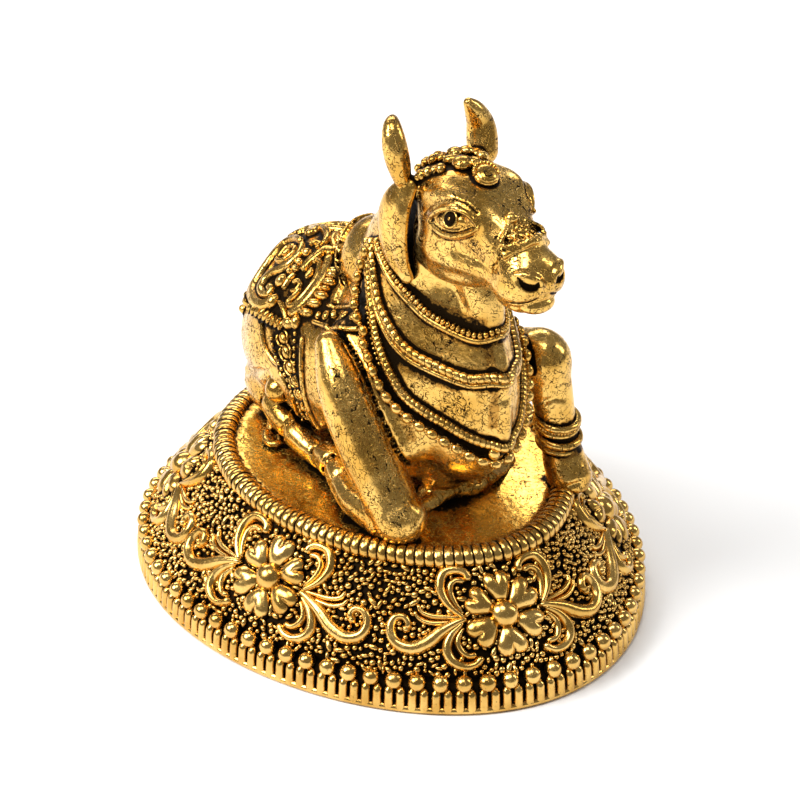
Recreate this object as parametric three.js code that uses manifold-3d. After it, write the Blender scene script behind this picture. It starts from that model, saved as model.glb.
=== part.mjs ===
// A small cast metal Nandi, the resting bull, on an egg-shaped domed plinth.
// Millimetres, +Z up. +X is the way the bull faces, and +Y is its left side.
// The origin is the middle of the plinth's underside.
import * as THREE from "three";
import { mergeVertices } from "three/addons/utils/BufferGeometryUtils.js";
import Module from "manifold-3d";

// ---------------------------------------------------------------- driving dimensions
const BASE_A = 45; // half length of the plinth's foot
const BASE_B = 38.72; // half width of the plinth's foot
const EGG = -0.104; // the plan narrows towards the front by this share
const LIP_Z = 0.9; // smooth lip under the ribbed hem
const HEM_Z = 4.0; // top of the ribbed hem
const BEADS = 72;
const BEAD_R = 1.32;
const BEAD_INSET = 1.55;
const BEAD_Z = 5.15;
const DOME_LOW = [2.5, 5.5]; // inset and height where the dome's ground begins
const DOME_HIGH = [12.7, 18.3]; // and where it meets the rope rim
const RIM_INSET = 14.2; // middle line of the rope rim
const RIM_Z = 19.4;
const RIM_R = 1.45;
const FLOOR_Z = 19.2; // floor inside the rim
const MEDALLIONS = 6;
const MEDALLION_FROM = 0.8023; // share of the way round from +X to the first flower
const SEAT_GAP = 0.3; // between the plinth's floor and the foot plate
const PLATE_T = 0.9; // the foot plate's thickness
const BACK_Z = 52.6; // top of the back, without the saddle
const SADDLE_T = 1.3; // how far the saddle stands off the body
const BODY_W = 14.6; // half width of the barrel
const HEAD_W = 7.6; // half width of the head at the eyes
const HEAD_TURN = 1.5; // degrees that the head is turned to its right
const HEAD_PIVOT_X = 12;
const HORN_TIP_Z = 85.6;
const KNEE_R_X = 19.6; // the folded right foreleg's knee
const KNEE_L_Z = 42.3; // the raised left knee
const NECKLACE_T = 1.0; // how far the necklaces stand off the neck

const wasm = await Module();
wasm.setup();
const V = (x, y, z) => new THREE.Vector3(x, y, z);

// ---------------------------------------------------------------- helpers
function solid(geometry) {
  const g = geometry.clone();
  g.deleteAttribute("normal");
  g.deleteAttribute("uv");
  const m = mergeVertices(g, 1e-4);
  const made = new wasm.Manifold(
    new wasm.Mesh({
      numProp: 3,
      vertProperties: m.attributes.position.array,
      triVerts: new Uint32Array(m.index.array),
    }),
  );
  return made;
}
function mapped(geometry, f) {
  const p = geometry.attributes.position;
  const v = new THREE.Vector3();
  for (let i = 0; i < p.count; i++) {
    v.fromBufferAttribute(p, i);
    const q = f(v);
    p.setXYZ(i, q.x, q.y, q.z);
  }
  return geometry;
}
const union = (list) => list.reduce((a, b) => a.add(b));
function flipIfInsideOut(geometry) {
  const s = solid(geometry);
  if (s.volume() > 0) return s;
  const idx = geometry.index.array;
  for (let i = 0; i < idx.length; i += 3)
    [idx[i + 1], idx[i + 2]] = [idx[i + 2], idx[i + 1]];
  return solid(geometry);
}

// A limb or trunk: stations [x, y, z, rn, rb], rn along `up` and rb across it.
// The ends are round, and `grow` thickens it all over.
function limb(stations, { up = V(0, 0, 1), sides = 12, rings = 8, cap = 2, grow = 0, square = 0, keel = 0 } = {}) {
  const path = new THREE.CatmullRomCurve3(stations.map((s) => V(s[0], s[1], s[2])), false, "catmullrom", 0.5);
  const sizes = new THREE.CatmullRomCurve3(stations.map((s) => V(s[3], s[4], 0)), false, "catmullrom", 0.5);
  const g = new THREE.CapsuleGeometry(1, 2, cap, sides, rings);
  return flipIfInsideOut(
    mapped(g, (v) => {
      const u = THREE.MathUtils.clamp((v.y + 1) / 2, 0, 1);
      const over = v.y > 1 ? v.y - 1 : v.y < -1 ? v.y + 1 : 0;
      const at = path.getPoint(u);
      const t = path.getTangent(u);
      const n = up.clone().addScaledVector(t, -up.dot(t)).normalize();
      const b = new THREE.Vector3().crossVectors(t, n);
      const r = sizes.getPoint(u);
      const rn = r.x + grow, rb = r.y + grow;
      const l = Math.hypot(v.x, v.z) || 1;
      let c = v.x, s = v.z;
      // square > 0 fattens the section's corners, keel > 0 narrows its upper half
      const k = 1 + square * Math.abs((2 * c * s) / (l * l)) * 0.5;
      c *= k; s *= k;
      const kk = keel ? 1 - keel * Math.max(0, c / l) ** 2 : 1;
      return at
        .addScaledVector(n, c * rn)
        .addScaledVector(b, s * rb * kk)
        .addScaledVector(t, over * Math.min(rn, rb));
    }),
  );
}
function ball(x, y, z, rx, ry, rz, { sides = 12, rings = 8, rot = [0, 0, 0] } = {}) {
  const g = new THREE.SphereGeometry(1, sides, rings);
  g.scale(rx, ry, rz);
  g.applyMatrix4(new THREE.Matrix4().makeRotationFromEuler(new THREE.Euler(...rot)));
  g.translate(x, y, z);
  return solid(g);
}
const mirrored = (stations) => stations.map(([x, y, z, ...r]) => [x, -y, z, ...r]);
function slab(w, d, h, at, rot) {
  const g = new THREE.BoxGeometry(w, d, h);
  g.applyMatrix4(new THREE.Matrix4().makeRotationFromEuler(new THREE.Euler(...rot)));
  g.translate(...at);
  return solid(g);
}
// A prism across the body, from an outline in the X-Z plane, between y0 and y1.
function prism(outline, y0, y1) {
  const shape = new THREE.Shape(outline.map(([x, z]) => new THREE.Vector2(x, z)));
  const g = new THREE.ExtrudeGeometry(shape, { depth: y1 - y0, bevelEnabled: false });
  g.applyMatrix4(new THREE.Matrix4().makeRotationX(Math.PI / 2));
  g.translate(0, y1, 0);
  return solid(g);
}

// ---------------------------------------------------------------- the plinth's plan
const FLOOR_A = BASE_A - RIM_INSET - RIM_R;
const FLOOR_B = BASE_B - RIM_INSET - RIM_R;
function egg(t, inset) {
  let a = BASE_A - inset, b = BASE_B - inset;
  if (a < FLOOR_A) b = (a * FLOOR_B) / FLOOR_A;
  return V(a * Math.cos(t), b * Math.sin(t) * (1 + EGG * Math.cos(t)), 0);
}
// Angles that share the plan's edge into equal lengths.
function equalAngles(inset, shares) {
  const N = 1440, len = [0], pts = [];
  for (let i = 0; i <= N; i++) pts.push(egg((i / N) * 2 * Math.PI, inset));
  for (let i = 1; i <= N; i++) len.push(len[i - 1] + pts[i].distanceTo(pts[i - 1]));
  return shares.map((share) => {
    const want = (((share % 1) + 1) % 1) * len[N];
    let i = 1;
    while (len[i] < want) i++;
    return (((i - 1 + (want - len[i - 1]) / (len[i] - len[i - 1])) / N) * 2 * Math.PI);
  });
}
// A point on the dome: p along the edge from a medallion's middle, q up the slope, h off the surface.
const SLOPE = V(DOME_HIGH[0] - DOME_LOW[0], DOME_HIGH[1] - DOME_LOW[1], 0);
const SLOPE_L = SLOPE.length();
const BULGE = 0.35;
const MIDLINE = 7.2; // inset of the medallions' middle line
const ROUND = (() => {
  let s = 0, last = egg(0, MIDLINE);
  for (let i = 1; i <= 720; i++) { const e = egg((i / 720) * 2 * Math.PI, MIDLINE); s += e.distanceTo(last); last = e; }
  return s;
})();
function onDome(middle, p, q, h) {
  const [t] = equalAngles(MIDLINE, [middle + p / ROUND]);
  const w = THREE.MathUtils.clamp((MIDLINE - DOME_LOW[0]) / SLOPE.x + q / SLOPE_L, 0, 1);
  const inset = DOME_LOW[0] + SLOPE.x * w, z = DOME_LOW[1] + SLOPE.y * w;
  const at = egg(t, inset);
  const ahead = egg(t + 0.01, inset).sub(egg(t - 0.01, inset)).normalize();
  const out = V(ahead.y, -ahead.x, 0);
  const n = out.multiplyScalar(SLOPE.y).add(V(0, 0, SLOPE.x)).normalize();
  return V(at.x, at.y, z).addScaledVector(n, h + BULGE * 4 * w * (1 - w));
}

// ---------------------------------------------------------------- the plinth
const WAIST = BASE_A - BEAD_INSET - BEAD_R * 0.5;
const profile = [
  [0, 0], [BASE_A, 0], [BASE_A, LIP_Z], [BASE_A - 0.35, HEM_Z - 0.5],
  [WAIST, HEM_Z], [WAIST, BEAD_Z], [BASE_A - DOME_LOW[0] - 0.5, DOME_LOW[1] + 0.9],
];
for (const w of [0.5])
  profile.push([
    BASE_A - DOME_LOW[0] - SLOPE.x * w + (BULGE * 4 * w * (1 - w) * SLOPE.y) / SLOPE_L,
    DOME_LOW[1] + SLOPE.y * w + (BULGE * 4 * w * (1 - w) * SLOPE.x) / SLOPE_L,
  ]);
// the rope rim, as a plain round here
for (const a of [-0.1, 0.35, 0.8]) profile.push([BASE_A - RIM_INSET + RIM_R * Math.cos(a * Math.PI), RIM_Z + RIM_R * Math.sin(a * Math.PI)]);
profile.push([FLOOR_A, FLOOR_Z], [0, FLOOR_Z]);
const lathe = new THREE.LatheGeometry(profile.map(([r, z]) => new THREE.Vector2(r, z)), BEADS * 2);
const beadAngles = equalAngles(BEAD_INSET, [...Array(BEADS * 2).keys()].map((i) => (i / 2 + 0.47) / BEADS));
const plinthBody = flipIfInsideOut(
  mapped(lathe, (v) => {
    const r = Math.hypot(v.x, v.z);
    if (r < 1e-6) return V(0, 0, v.y);
    const i = Math.round((Math.atan2(v.x, v.z) / Math.PI) * BEADS + 4 * BEADS) % (2 * BEADS);
    // the bead's crown stands out on every second line
    const crown = Math.abs(v.y - BEAD_Z) < 1e-4 && i % 2 === 0;
    const e = egg(beadAngles[i], BASE_A - r - (crown ? BEAD_R * 1.15 : 0));
    return V(e.x, e.y, v.y + (crown ? 0.35 : 0));
  }),
).simplify(0.3);
let plinth = plinthBody;
// One stroke of a scroll on the dome: a ridge whose middle line is f(u), u from 0 to 1.
function stroke(middle, f, wide, high, rings) {
  const g = new THREE.CapsuleGeometry(1, 2, 1, 3, rings);
  return flipIfInsideOut(
    mapped(g, (v) => {
      const u = THREE.MathUtils.clamp((v.y + 1) / 2, 0, 1);
      const [p, q] = f(u);
      const [p1, q1] = f(Math.min(1, u + 0.02)), [p0, q0] = f(Math.max(0, u - 0.02));
      const l = Math.hypot(p1 - p0, q1 - q0) || 1;
      const tp = (p1 - p0) / l, tq = (q1 - q0) / l;
      const w = wide(u), over = (Math.abs(v.y) > 1 ? v.y - Math.sign(v.y) : 0) * w;
      return onDome(middle, p - v.z * w * 1.3 * tq + over * tp, q + v.z * w * 1.3 * tp + over * tq, -v.x * high);
    }),
  );
}
const FLOWER_R = 4.2; // from the boss to the petals' middles
const BOSS_R = 1.95;
// middle lines of a flower's scrolls, in mm from its boss: along the edge, up the slope
const S_SCROLL = [[7.4, -0.6], [10, -2.4], [13.6, -3.7], [16.6, -2.4], [16.7, 0.1], [15.2, 0.8]];
const C_SCROLL = [[8.4, 1.7], [10.3, 4.4], [7.2, 6.8]];
function medallion(middle) {
  const bits = [];
  const dab = (p, q, rp, rq, high, sides, rings, turn = 0) => {
    const g = new THREE.SphereGeometry(1, sides, rings);
    const c = Math.cos(turn), s = Math.sin(turn);
    return flipIfInsideOut(
      mapped(g, (v) => onDome(middle, p + v.x * rp * c - v.z * rq * s, q + v.x * rp * s + v.z * rq * c, v.y * high)),
    );
  };
  bits.push(dab(0, 0, BOSS_R, BOSS_R, 1.8, 6, 3));
  for (let i = 0; i < 6; i++) {
    const a = Math.PI / 2 + (i * Math.PI) / 3;
    bits.push(dab(FLOWER_R * Math.cos(a), FLOWER_R * Math.sin(a), 1.75, 2.0, 1.4, 4, 2, a));
  }
  for (const side of [-1, 1]) {
    const line = (pts, lift) => {
      const c = new THREE.CatmullRomCurve3(pts.map(([p, q]) => V(side * p, lift * q, 0)), false, "catmullrom", 0.5);
      return (u) => { const v = c.getPoint(u); return [v.x, v.y]; };
    };
    bits.push(stroke(middle, line(S_SCROLL, 1), (u) => 0.55 + 0.5 * Math.sin(Math.PI * Math.min(1, u * 1.1)), 1.0, 5));
    for (const lift of [-1, 1])
      bits.push(stroke(middle, line(C_SCROLL, lift), (u) => 0.45 + 0.4 * Math.sin(Math.PI * u), 0.9, 2));
  }
  return union(bits);
}
for (let i = 0; i < MEDALLIONS; i++) plinth = plinth.add(medallion(MEDALLION_FROM + i / MEDALLIONS));
// nothing reaches below the foot
plinth = plinth.trimByPlane([0, 0, 1], 0);

// ---------------------------------------------------------------- the bull
// The bull's stations are measured from a datum this far below the plinth's foot.
const DATUM = -1.5;
const plateZ = FLOOR_Z + SEAT_GAP - DATUM;
const trunk = [
  [-20.8, 0, 35.5, 12, 10],
  [-16, 0, 37.5, BACK_Z - 37.5, BODY_W - 1],
  [-6, 0, 37.6, BACK_Z - 37.9, BODY_W],
  [4, 0, 38.5, 14.6, BODY_W - 0.6],
  [12, 0, 38.5, 12.5, 10.5],
];
const TRUNK_OPT = { sides: 14, rings: 6, cap: 3 };
const neck = [
  [8.5, 0, 33, 12.5, 11],
  [11, 0, 41, 16.6, 12.4],
  [9.6, 0, 50, 16.4, 10.6],
  [8.8, 0, 58, 14.2, 8.6],
  [11.5, 0, 66, 9.5, 6.6],
  [14, 0, 72, 7.6, 6],
];
const NECK_OPT = { up: V(1, 0, 0), sides: 12, rings: 6, cap: 1, keel: 0.35 };
const thigh = [
  [-22.8, -8, 34.6, 8.4, 5.6],
  [-17, -10.3, 36.6, 9, 5.2],
  [-9, -10.6, 35, 7.6, 4.1],
];
const hind = [
  [-24.2, -9, 26.8, 4.4, 4],
  [-20.5, -10.6, 26.8, 4.1, 3.5],
  [-16.6, -11.8, 26.2, 2.6, 2.5],
  [-12.5, -12.4, 25, 2.2, 2.2],
  [-7, -12.5, 24, 2.2, 2.1],
];
const hindHoof = [[-4.5, -12.3, 24.1, 2.2, 2.2], [-0.6, -12.6, 24.2, 2.7, 2.6]];
// shoulder between the folded foreleg and the chest
const shoulder = [
  [3.5, -11.2, 47, 4, 3.6],
  [10, -11.4, 42, 4.8, 3.9],
  [15, -10.2, 35, 4, 3.6],
];
const arm = [
  [3.6, -15.2, 48.2, 2.4, 2.6],
  [8.4, -15.4, 42.2, 4.3, 4.3],
  [13.6, -14.8, 34.2, 4.6, 4.5],
  [17.5, -14, 28, 4.1, 4.0],
  [KNEE_R_X, -13.7, 25.3, 3.9, 3.9],
];
const foreCannon = [
  [17.5, -15.2, 24.3, 2.9, 2.9],
  [11, -15.6, 24.2, 2.4, 2.5],
  [5.6, -14.3, 24.2, 2.4, 2.4],
];
const foreHoof = [[5.2, -13.9, 24.2, 2.4, 2.4], [2.6, -13.2, 24.2, 2.6, 2.5]];
const leftUpper = [
  [3, 12, 32, 5, 4.2],
  [9, 14.8, 38.5, 4.6, 3.9],
  [15, 15.8, KNEE_L_Z, 3.7, 3.7],
];
const leftShank = [
  [16, 15.9, KNEE_L_Z - 0.5, 3.9, 3.9],
  [17.8, 16.2, 36.5, 3.3, 3.4],
  [19.3, 16.6, 30, 2.9, 3],
  [20.4, 17, 25, 3.2, 3.3],
];
const leftHoof = [[20.4, 17, 25.4, 3.1, 3.2], [21.6, 17.2, 22.6, 3.7, 3.6]];
const tail = [
  [-28, -1, 45.5, 1.8, 1.8],
  [-30.4, -1.6, 38, 1.4, 1.4],
  [-30.2, -3.6, 30, 1.4, 1.4],
  [-26.5, -8, 24.2, 1.7, 1.7],
  [-20, -12, 22.8, 1.3, 1.3],
  [-14, -14.4, 22.4, 1.2, 1.2],
];

const parts = [];
const trunkSolid = limb(trunk, TRUNK_OPT);
const neckSolid = limb(neck, NECK_OPT);
parts.push(trunkSolid, neckSolid);
for (const side of [thigh, mirrored(thigh)]) parts.push(limb(side, { sides: 10, rings: 3 }));
for (const side of [hind, mirrored(hind)]) parts.push(limb(side, { sides: 7, rings: 4, cap: 1 }));
for (const side of [hindHoof, mirrored(hindHoof)]) parts.push(limb(side, { sides: 7, rings: 1, cap: 1 }));
for (const side of [shoulder, mirrored(shoulder)]) parts.push(limb(side, { sides: 8, rings: 3, cap: 1 }));
parts.push(
  limb(arm, { up: V(0, 1, 0), sides: 10, rings: 6, cap: 2 }),
  limb(foreCannon, { sides: 7, rings: 3, cap: 1 }),
  limb(foreHoof, { sides: 7, rings: 1, cap: 1 }),
  limb(leftUpper, { sides: 8, rings: 3 }),
  limb(leftShank, { up: V(1, 0, 0), sides: 8, rings: 3, cap: 2 }),
  limb(leftHoof, { up: V(1, 0, 0), sides: 8, rings: 1, cap: 1 }),
  limb(tail, { sides: 5, rings: 9, cap: 1 }),
  ball(-5.6, 0, 53.7, 7.6, 6.4, 7.4, { sides: 12, rings: 7 }), // hump
  ball(-16.2, -12.6, 29.6, 2.3, 2.3, 2.3, { sides: 7, rings: 5 }), // hock
  ball(-16.2, 12.6, 29.6, 2.3, 2.3, 2.3, { sides: 7, rings: 5 }),
  ball(19, 0, 33.5, 5.6, 7, 6.6, { sides: 9, rings: 6 }), // brisket
);
// bangles above the left fore hoof
for (const [x, z] of [[19.0, 31.2], [19.6, 28.6]]) {
  const g = new THREE.TorusGeometry(3.1, 0.95, 4, 10);
  g.rotateY(0.18);
  g.translate(x, 16.6, z);
  parts.push(solid(g));
}

// head: poll, brow, cheeks, muzzle and jaw
const headParts = [];
const HEAD_OPT = { sides: 12, rings: 6, cap: 2, square: 0.18 };
const head = [
  [13.5, 0, 72.2, 7.2, 5.6],
  [18.2, 0, 72.2, 8.0, HEAD_W - 1.2],
  [23.2, 0, 72.2, 7.3, HEAD_W - 1.4],
  [28.6, 0, 70.8, 6.0, 4.8],
  [32.8, 0, 69.4, 5.1, 4.4],
];
headParts.push(limb(head, HEAD_OPT));
headParts.push(ball(32.4, 0, 65.2, 4, 3.5, 2.7, { sides: 8, rings: 5 })); // chin
for (const s of [-1, 1]) {
  headParts.push(ball(34.2, s * 2.5, 69.6, 2.8, 2.3, 2.9, { sides: 7, rings: 4 })); // nostril wings
  headParts.push(ball(22.3, s * 5.3, 75.2, 3.4, 1.6, 2.2, { sides: 7, rings: 4, rot: [0, 0.3, 0] })); // brows and eyes
  // horns
  headParts.push(
    limb(
      [
        [12.4, s * 5.8, 75.4, 1.6, 1.6],
        [11.6, s * 7.9, 79.2, 2.0, 1.9],
        [10.2, s * 7.8, 82.6, 1.6, 1.6],
        [8.9, s * 6.3, HORN_TIP_Z - 0.9 + (s < 0 ? 0.6 : -0.35), 0.75, 0.75],
      ],
      { up: V(1, 0, 0), sides: 7, rings: 5, cap: 1 },
    ),
  );
  // hanging ears
  headParts.push(
    limb(
      [
        [13.0, s * 6.4, 75.4, 1.4, 1.4],
        [12.4, s * 8.6, 71.6, 2.9, 1.5],
        [12.6, s * 8.4, 66.4, 2.6, 1.4],
        [14.2, s * 7.4, 61.8, 0.9, 0.8],
      ],
      { up: V(1, 0, 0), sides: 6, rings: 5, cap: 1 },
    ),
  );
}
// headband between the horns, its middle lumps and the forehead pendant
headParts.push(
  limb([[13.6, -6.6, 77.6, 1.2, 1.2], [15.2, -3.4, 79.9, 1.3, 1.4], [15.8, 0, 80.6, 1.5, 1.6], [15.2, 3.4, 79.9, 1.3, 1.4], [13.6, 6.6, 77.6, 1.2, 1.2]], { sides: 5, rings: 5, cap: 1 }),
  ball(18.2, 0, 80.3, 2.2, 2.8, 1.5, { sides: 7, rings: 4 }),
  ball(22.4, 0, 79.4, 2.3, 2, 1, { sides: 7, rings: 4, rot: [0, 0.25, 0] }),
);
// noseband
const headGrown = limb(head, { ...HEAD_OPT, grow: 0.6 });
headParts.push(headGrown.intersect(slab(2.4, 30, 30, [30.4, 0, 72], [0, -0.35, 0]).intersect(slab(60, 60, 12, [30, 0, 75.2], [0, 0, 0]))));
// the head looks a little to its right
parts.push(union(headParts).translate([-HEAD_PIVOT_X, 0, 0]).rotate([0, 0, -HEAD_TURN]).translate([HEAD_PIVOT_X, 0, 0]));

// necklaces: bands standing off the neck, each in its own sloping plane
const neckGrown = limb(neck, { ...NECK_OPT, grow: NECKLACE_T });
// each necklace: front point, slope of its plane, width
const plane = (x, z, slope, thick) => slab(90, 60, thick, [x, 0, z], [0, slope, 0]);
for (const [x, z, slope, thick] of [
  [23.6, 55.6, 0.02, 1.7],
  [26.8, 46.4, 0.28, 2.0],
  [27.0, 36.4, 0.57, 3.4],
])
  parts.push(neckGrown.intersect(plane(x, z, slope, thick)));

// saddle cloth: the trunk, hump and thighs grown and cut to the cloth's outline
const cloth = union([
  limb(trunk, { ...TRUNK_OPT, grow: SADDLE_T }),
  ...[thigh, mirrored(thigh)].map((side) => limb(side, { sides: 10, rings: 3, grow: SADDLE_T - 0.3 })),
]);
const clothOutline = [
  [-33, 43.5], [-33, 60], [-9.5, 60], [-8.2, 54.5], [-4.6, 50.5], [-1.2, 47.6],
  [1.6, 40], [1.6, 33.4], [-2.6, 29.2], [-9.5, 37], [-15, 43], [-24, 42.4],
];
parts.push(cloth.intersect(prism(clothOutline, -30, 30)));
// breast strap from the cloth to the necklaces
parts.push(cloth.intersect(prism([[-3, 49.4], [-3, 53], [7, 54.4], [7, 50.4]], -30, 30)));

let bull = union(parts);
// the foot plate, and nothing below it
const plate = new THREE.CylinderGeometry(1, 1, PLATE_T, 40, 1);
plate.rotateX(Math.PI / 2);
bull = bull.trimByPlane([0, 0, 1], plateZ + PLATE_T * 0.5).add(
  solid(mapped(plate, (v) => {
    const e = egg(Math.atan2(v.y, v.x), BASE_A - 27.6 * Math.hypot(v.x, v.y));
    return V(e.x - 0.6, e.y, plateZ + PLATE_T / 2 + v.z);
  })),
);
bull = bull.trimByPlane([0, 0, 1], plateZ).translate([0, 0, DATUM]);
// the right knee and the left hoof bear on the rim with a hair's gap
const rimRoom = flipIfInsideOut(
  mapped(new THREE.TorusGeometry(1, 0.5, 7, 54), (v) => {
    const t = Math.atan2(v.y, v.x);
    const c = (Math.hypot(v.x, v.y) - 1) / 0.5, s = v.z / 0.5;
    const e = egg(t, RIM_INSET - c * (RIM_R + SEAT_GAP + 0.25));
    return V(e.x, e.y, RIM_Z + s * (RIM_R + SEAT_GAP + 0.25));
  }),
);
// merge facets that lie within a hair of each other
bull = bull.simplify(0.36);
plinth = plinth.simplify(0.3);
bull = bull.subtract(rimRoom);

// ---------------------------------------------------------------- scene graph
function meshOf(name, made, material) {
  // one closed body: the largest, if a boolean left a speck beside it
  const bodies = made.decompose().sort((a, b) => b.volume() - a.volume());
  const m = bodies[0].getMesh();
  const g = new THREE.BufferGeometry();
  g.setAttribute("position", new THREE.BufferAttribute(new Float32Array(m.vertProperties), 3));
  g.setIndex(new THREE.BufferAttribute(new Uint32Array(m.triVerts), 1));
  g.computeVertexNormals();
  const mesh = new THREE.Mesh(g, material);
  mesh.name = name;
  return mesh;
}
const gold = new THREE.MeshStandardMaterial({ name: "antique gold", color: 0xd9a441, roughness: 0.3, metalness: 1 });
const darkGold = new THREE.MeshStandardMaterial({ name: "dark antique gold", color: 0xb98a35, roughness: 0.38, metalness: 1 });
const group = new THREE.Group();
group.add(meshOf("base", plinth, darkGold), meshOf("bull", bull, gold));

export default group;
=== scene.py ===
import math
import time

import bpy
import numpy as np
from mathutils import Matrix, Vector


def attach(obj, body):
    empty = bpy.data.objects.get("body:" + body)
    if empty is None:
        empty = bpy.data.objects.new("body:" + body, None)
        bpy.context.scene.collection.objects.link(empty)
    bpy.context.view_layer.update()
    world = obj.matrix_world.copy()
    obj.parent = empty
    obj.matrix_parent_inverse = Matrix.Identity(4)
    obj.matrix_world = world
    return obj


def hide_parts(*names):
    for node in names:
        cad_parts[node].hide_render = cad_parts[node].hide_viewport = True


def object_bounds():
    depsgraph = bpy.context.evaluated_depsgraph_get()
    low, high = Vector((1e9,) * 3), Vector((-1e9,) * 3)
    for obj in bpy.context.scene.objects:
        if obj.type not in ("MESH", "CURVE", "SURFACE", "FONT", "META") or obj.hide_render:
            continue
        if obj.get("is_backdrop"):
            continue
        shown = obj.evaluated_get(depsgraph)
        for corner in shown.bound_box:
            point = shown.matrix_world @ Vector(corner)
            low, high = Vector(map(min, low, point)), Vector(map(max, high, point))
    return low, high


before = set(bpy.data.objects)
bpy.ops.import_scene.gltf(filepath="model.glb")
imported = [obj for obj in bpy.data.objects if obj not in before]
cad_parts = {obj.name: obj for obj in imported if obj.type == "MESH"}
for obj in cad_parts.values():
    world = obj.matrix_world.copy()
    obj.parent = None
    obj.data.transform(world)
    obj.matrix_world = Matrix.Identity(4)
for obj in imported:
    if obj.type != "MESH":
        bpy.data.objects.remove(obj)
CAD_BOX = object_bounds()
T0 = time.time()
MM = 0.001
RNG = np.random.default_rng(7)
# Stations of the bull are measured from a datum 1.5 mm under the plinth's foot, as in the CAD.
DATUM = np.array([0.0, 0.0, -1.5])


def say(*a):
    print("[%6.1fs]" % (time.time() - T0), *a, flush=True)


# ------------------------------------------------------------------ camera
AZ, EL = math.radians(55.2326), math.radians(31.1161)
CAM_DIST = 482.9691
CAM_AIM = np.array([11.7119, -7.8847, 38.5])
CAM_F = 3200.0  # focal length in pixels of an 800 pixel frame
BACK = np.array([math.sin(AZ) * math.cos(EL), -math.cos(AZ) * math.cos(EL), math.sin(EL)])
RIGHT = np.array([math.cos(AZ), math.sin(AZ), 0.0])
UP = np.cross(BACK, RIGHT)
CAM_POS = CAM_AIM + BACK * CAM_DIST


def make_camera():
    cam = bpy.data.cameras.new("cam")
    cam.sensor_width = 36.0
    cam.sensor_fit = "HORIZONTAL"
    cam.lens = CAM_F * 36.0 / 800.0
    cam.clip_start = 0.05
    cam.clip_end = 20.0
    ob = bpy.data.objects.new("cam", cam)
    bpy.context.collection.objects.link(ob)
    ob.location = CAM_POS * MM
    ob.rotation_euler = (math.pi / 2 - EL, 0.0, AZ)
    bpy.context.scene.camera = ob


make_camera()


def sight(uv):
    """Directions from the eye through points of the 800 pixel frame."""
    uv = np.atleast_2d(np.asarray(uv, float))
    d = -BACK + RIGHT * (uv[:, :1] - 400) / CAM_F - UP * (uv[:, 1:2] - 400) / CAM_F
    return d / np.linalg.norm(d, axis=1, keepdims=True)


EYE = CAM_POS - DATUM  # the eye, from the bull's datum


def seen(u, v, y):
    """The point at depth y on the line of sight through (u, v), from the bull's datum."""
    d = sight((u, v))[0]
    return EYE + d * ((y - EYE[1]) / d[1])


def on_level(u, v, z):
    """The point at height z on the line of sight through (u, v), from the bull's datum."""
    d = sight((u, v))[0]
    return EYE + d * ((z - EYE[2]) / d[2])


# ------------------------------------------------------------------ curves
def catmull(stations, n):
    """n rows along stations, uniform Catmull-Rom, through the ends."""
    P = np.asarray(stations, float)
    m = len(P)
    if m == 2:
        u = np.linspace(0, 1, n)[:, None]
        return P[0] * (1 - u) + P[1] * u
    u = np.linspace(0, m - 1, n)
    i = np.minimum(u.astype(int), m - 2)
    t = (u - i)[:, None]
    p0 = np.where((i == 0)[:, None], 2 * P[0] - P[1], P[np.maximum(i - 1, 0)])
    p1, p2 = P[i], P[i + 1]
    p3 = np.where((i == m - 2)[:, None], 2 * P[m - 1] - P[m - 2], P[np.minimum(i + 2, m - 1)])
    return 0.5 * (2 * p1 + (p2 - p0) * t + (2 * p0 - 5 * p1 + 4 * p2 - p3) * t**2 + (3 * p1 - 3 * p2 + p3 - p0) * t**3)


def unit(v):
    return v / (np.linalg.norm(v, axis=-1, keepdims=True) + 1e-12)


def resample(P, step=None, n=None, closed=False):
    """Rows equally spaced along a line by their first three values."""
    P = np.asarray(P, float)
    Q = np.vstack([P, P[:1]]) if closed else P
    s = np.concatenate([[0], np.cumsum(np.linalg.norm(np.diff(Q[:, :3], axis=0), axis=1))])
    if n is None:
        n = max(2, int(round(s[-1] / step)) + (0 if closed else 1))
    w = np.linspace(0, s[-1], n + 1)[:-1] if closed else np.linspace(0, s[-1], n)
    return np.stack([np.interp(w, s, Q[:, k]) for k in range(Q.shape[1])], 1)


def smooth(a, b, x):
    t = np.clip((x - a) / (b - a), 0, 1)
    return t * t * (3 - 2 * t)


def tangents(P, closed=False):
    if closed:
        return unit(np.roll(P, -1, 0) - np.roll(P, 1, 0))
    return unit(np.gradient(P, axis=0))


# ------------------------------------------------------------------ distance fields
FAR = 4.0


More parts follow.
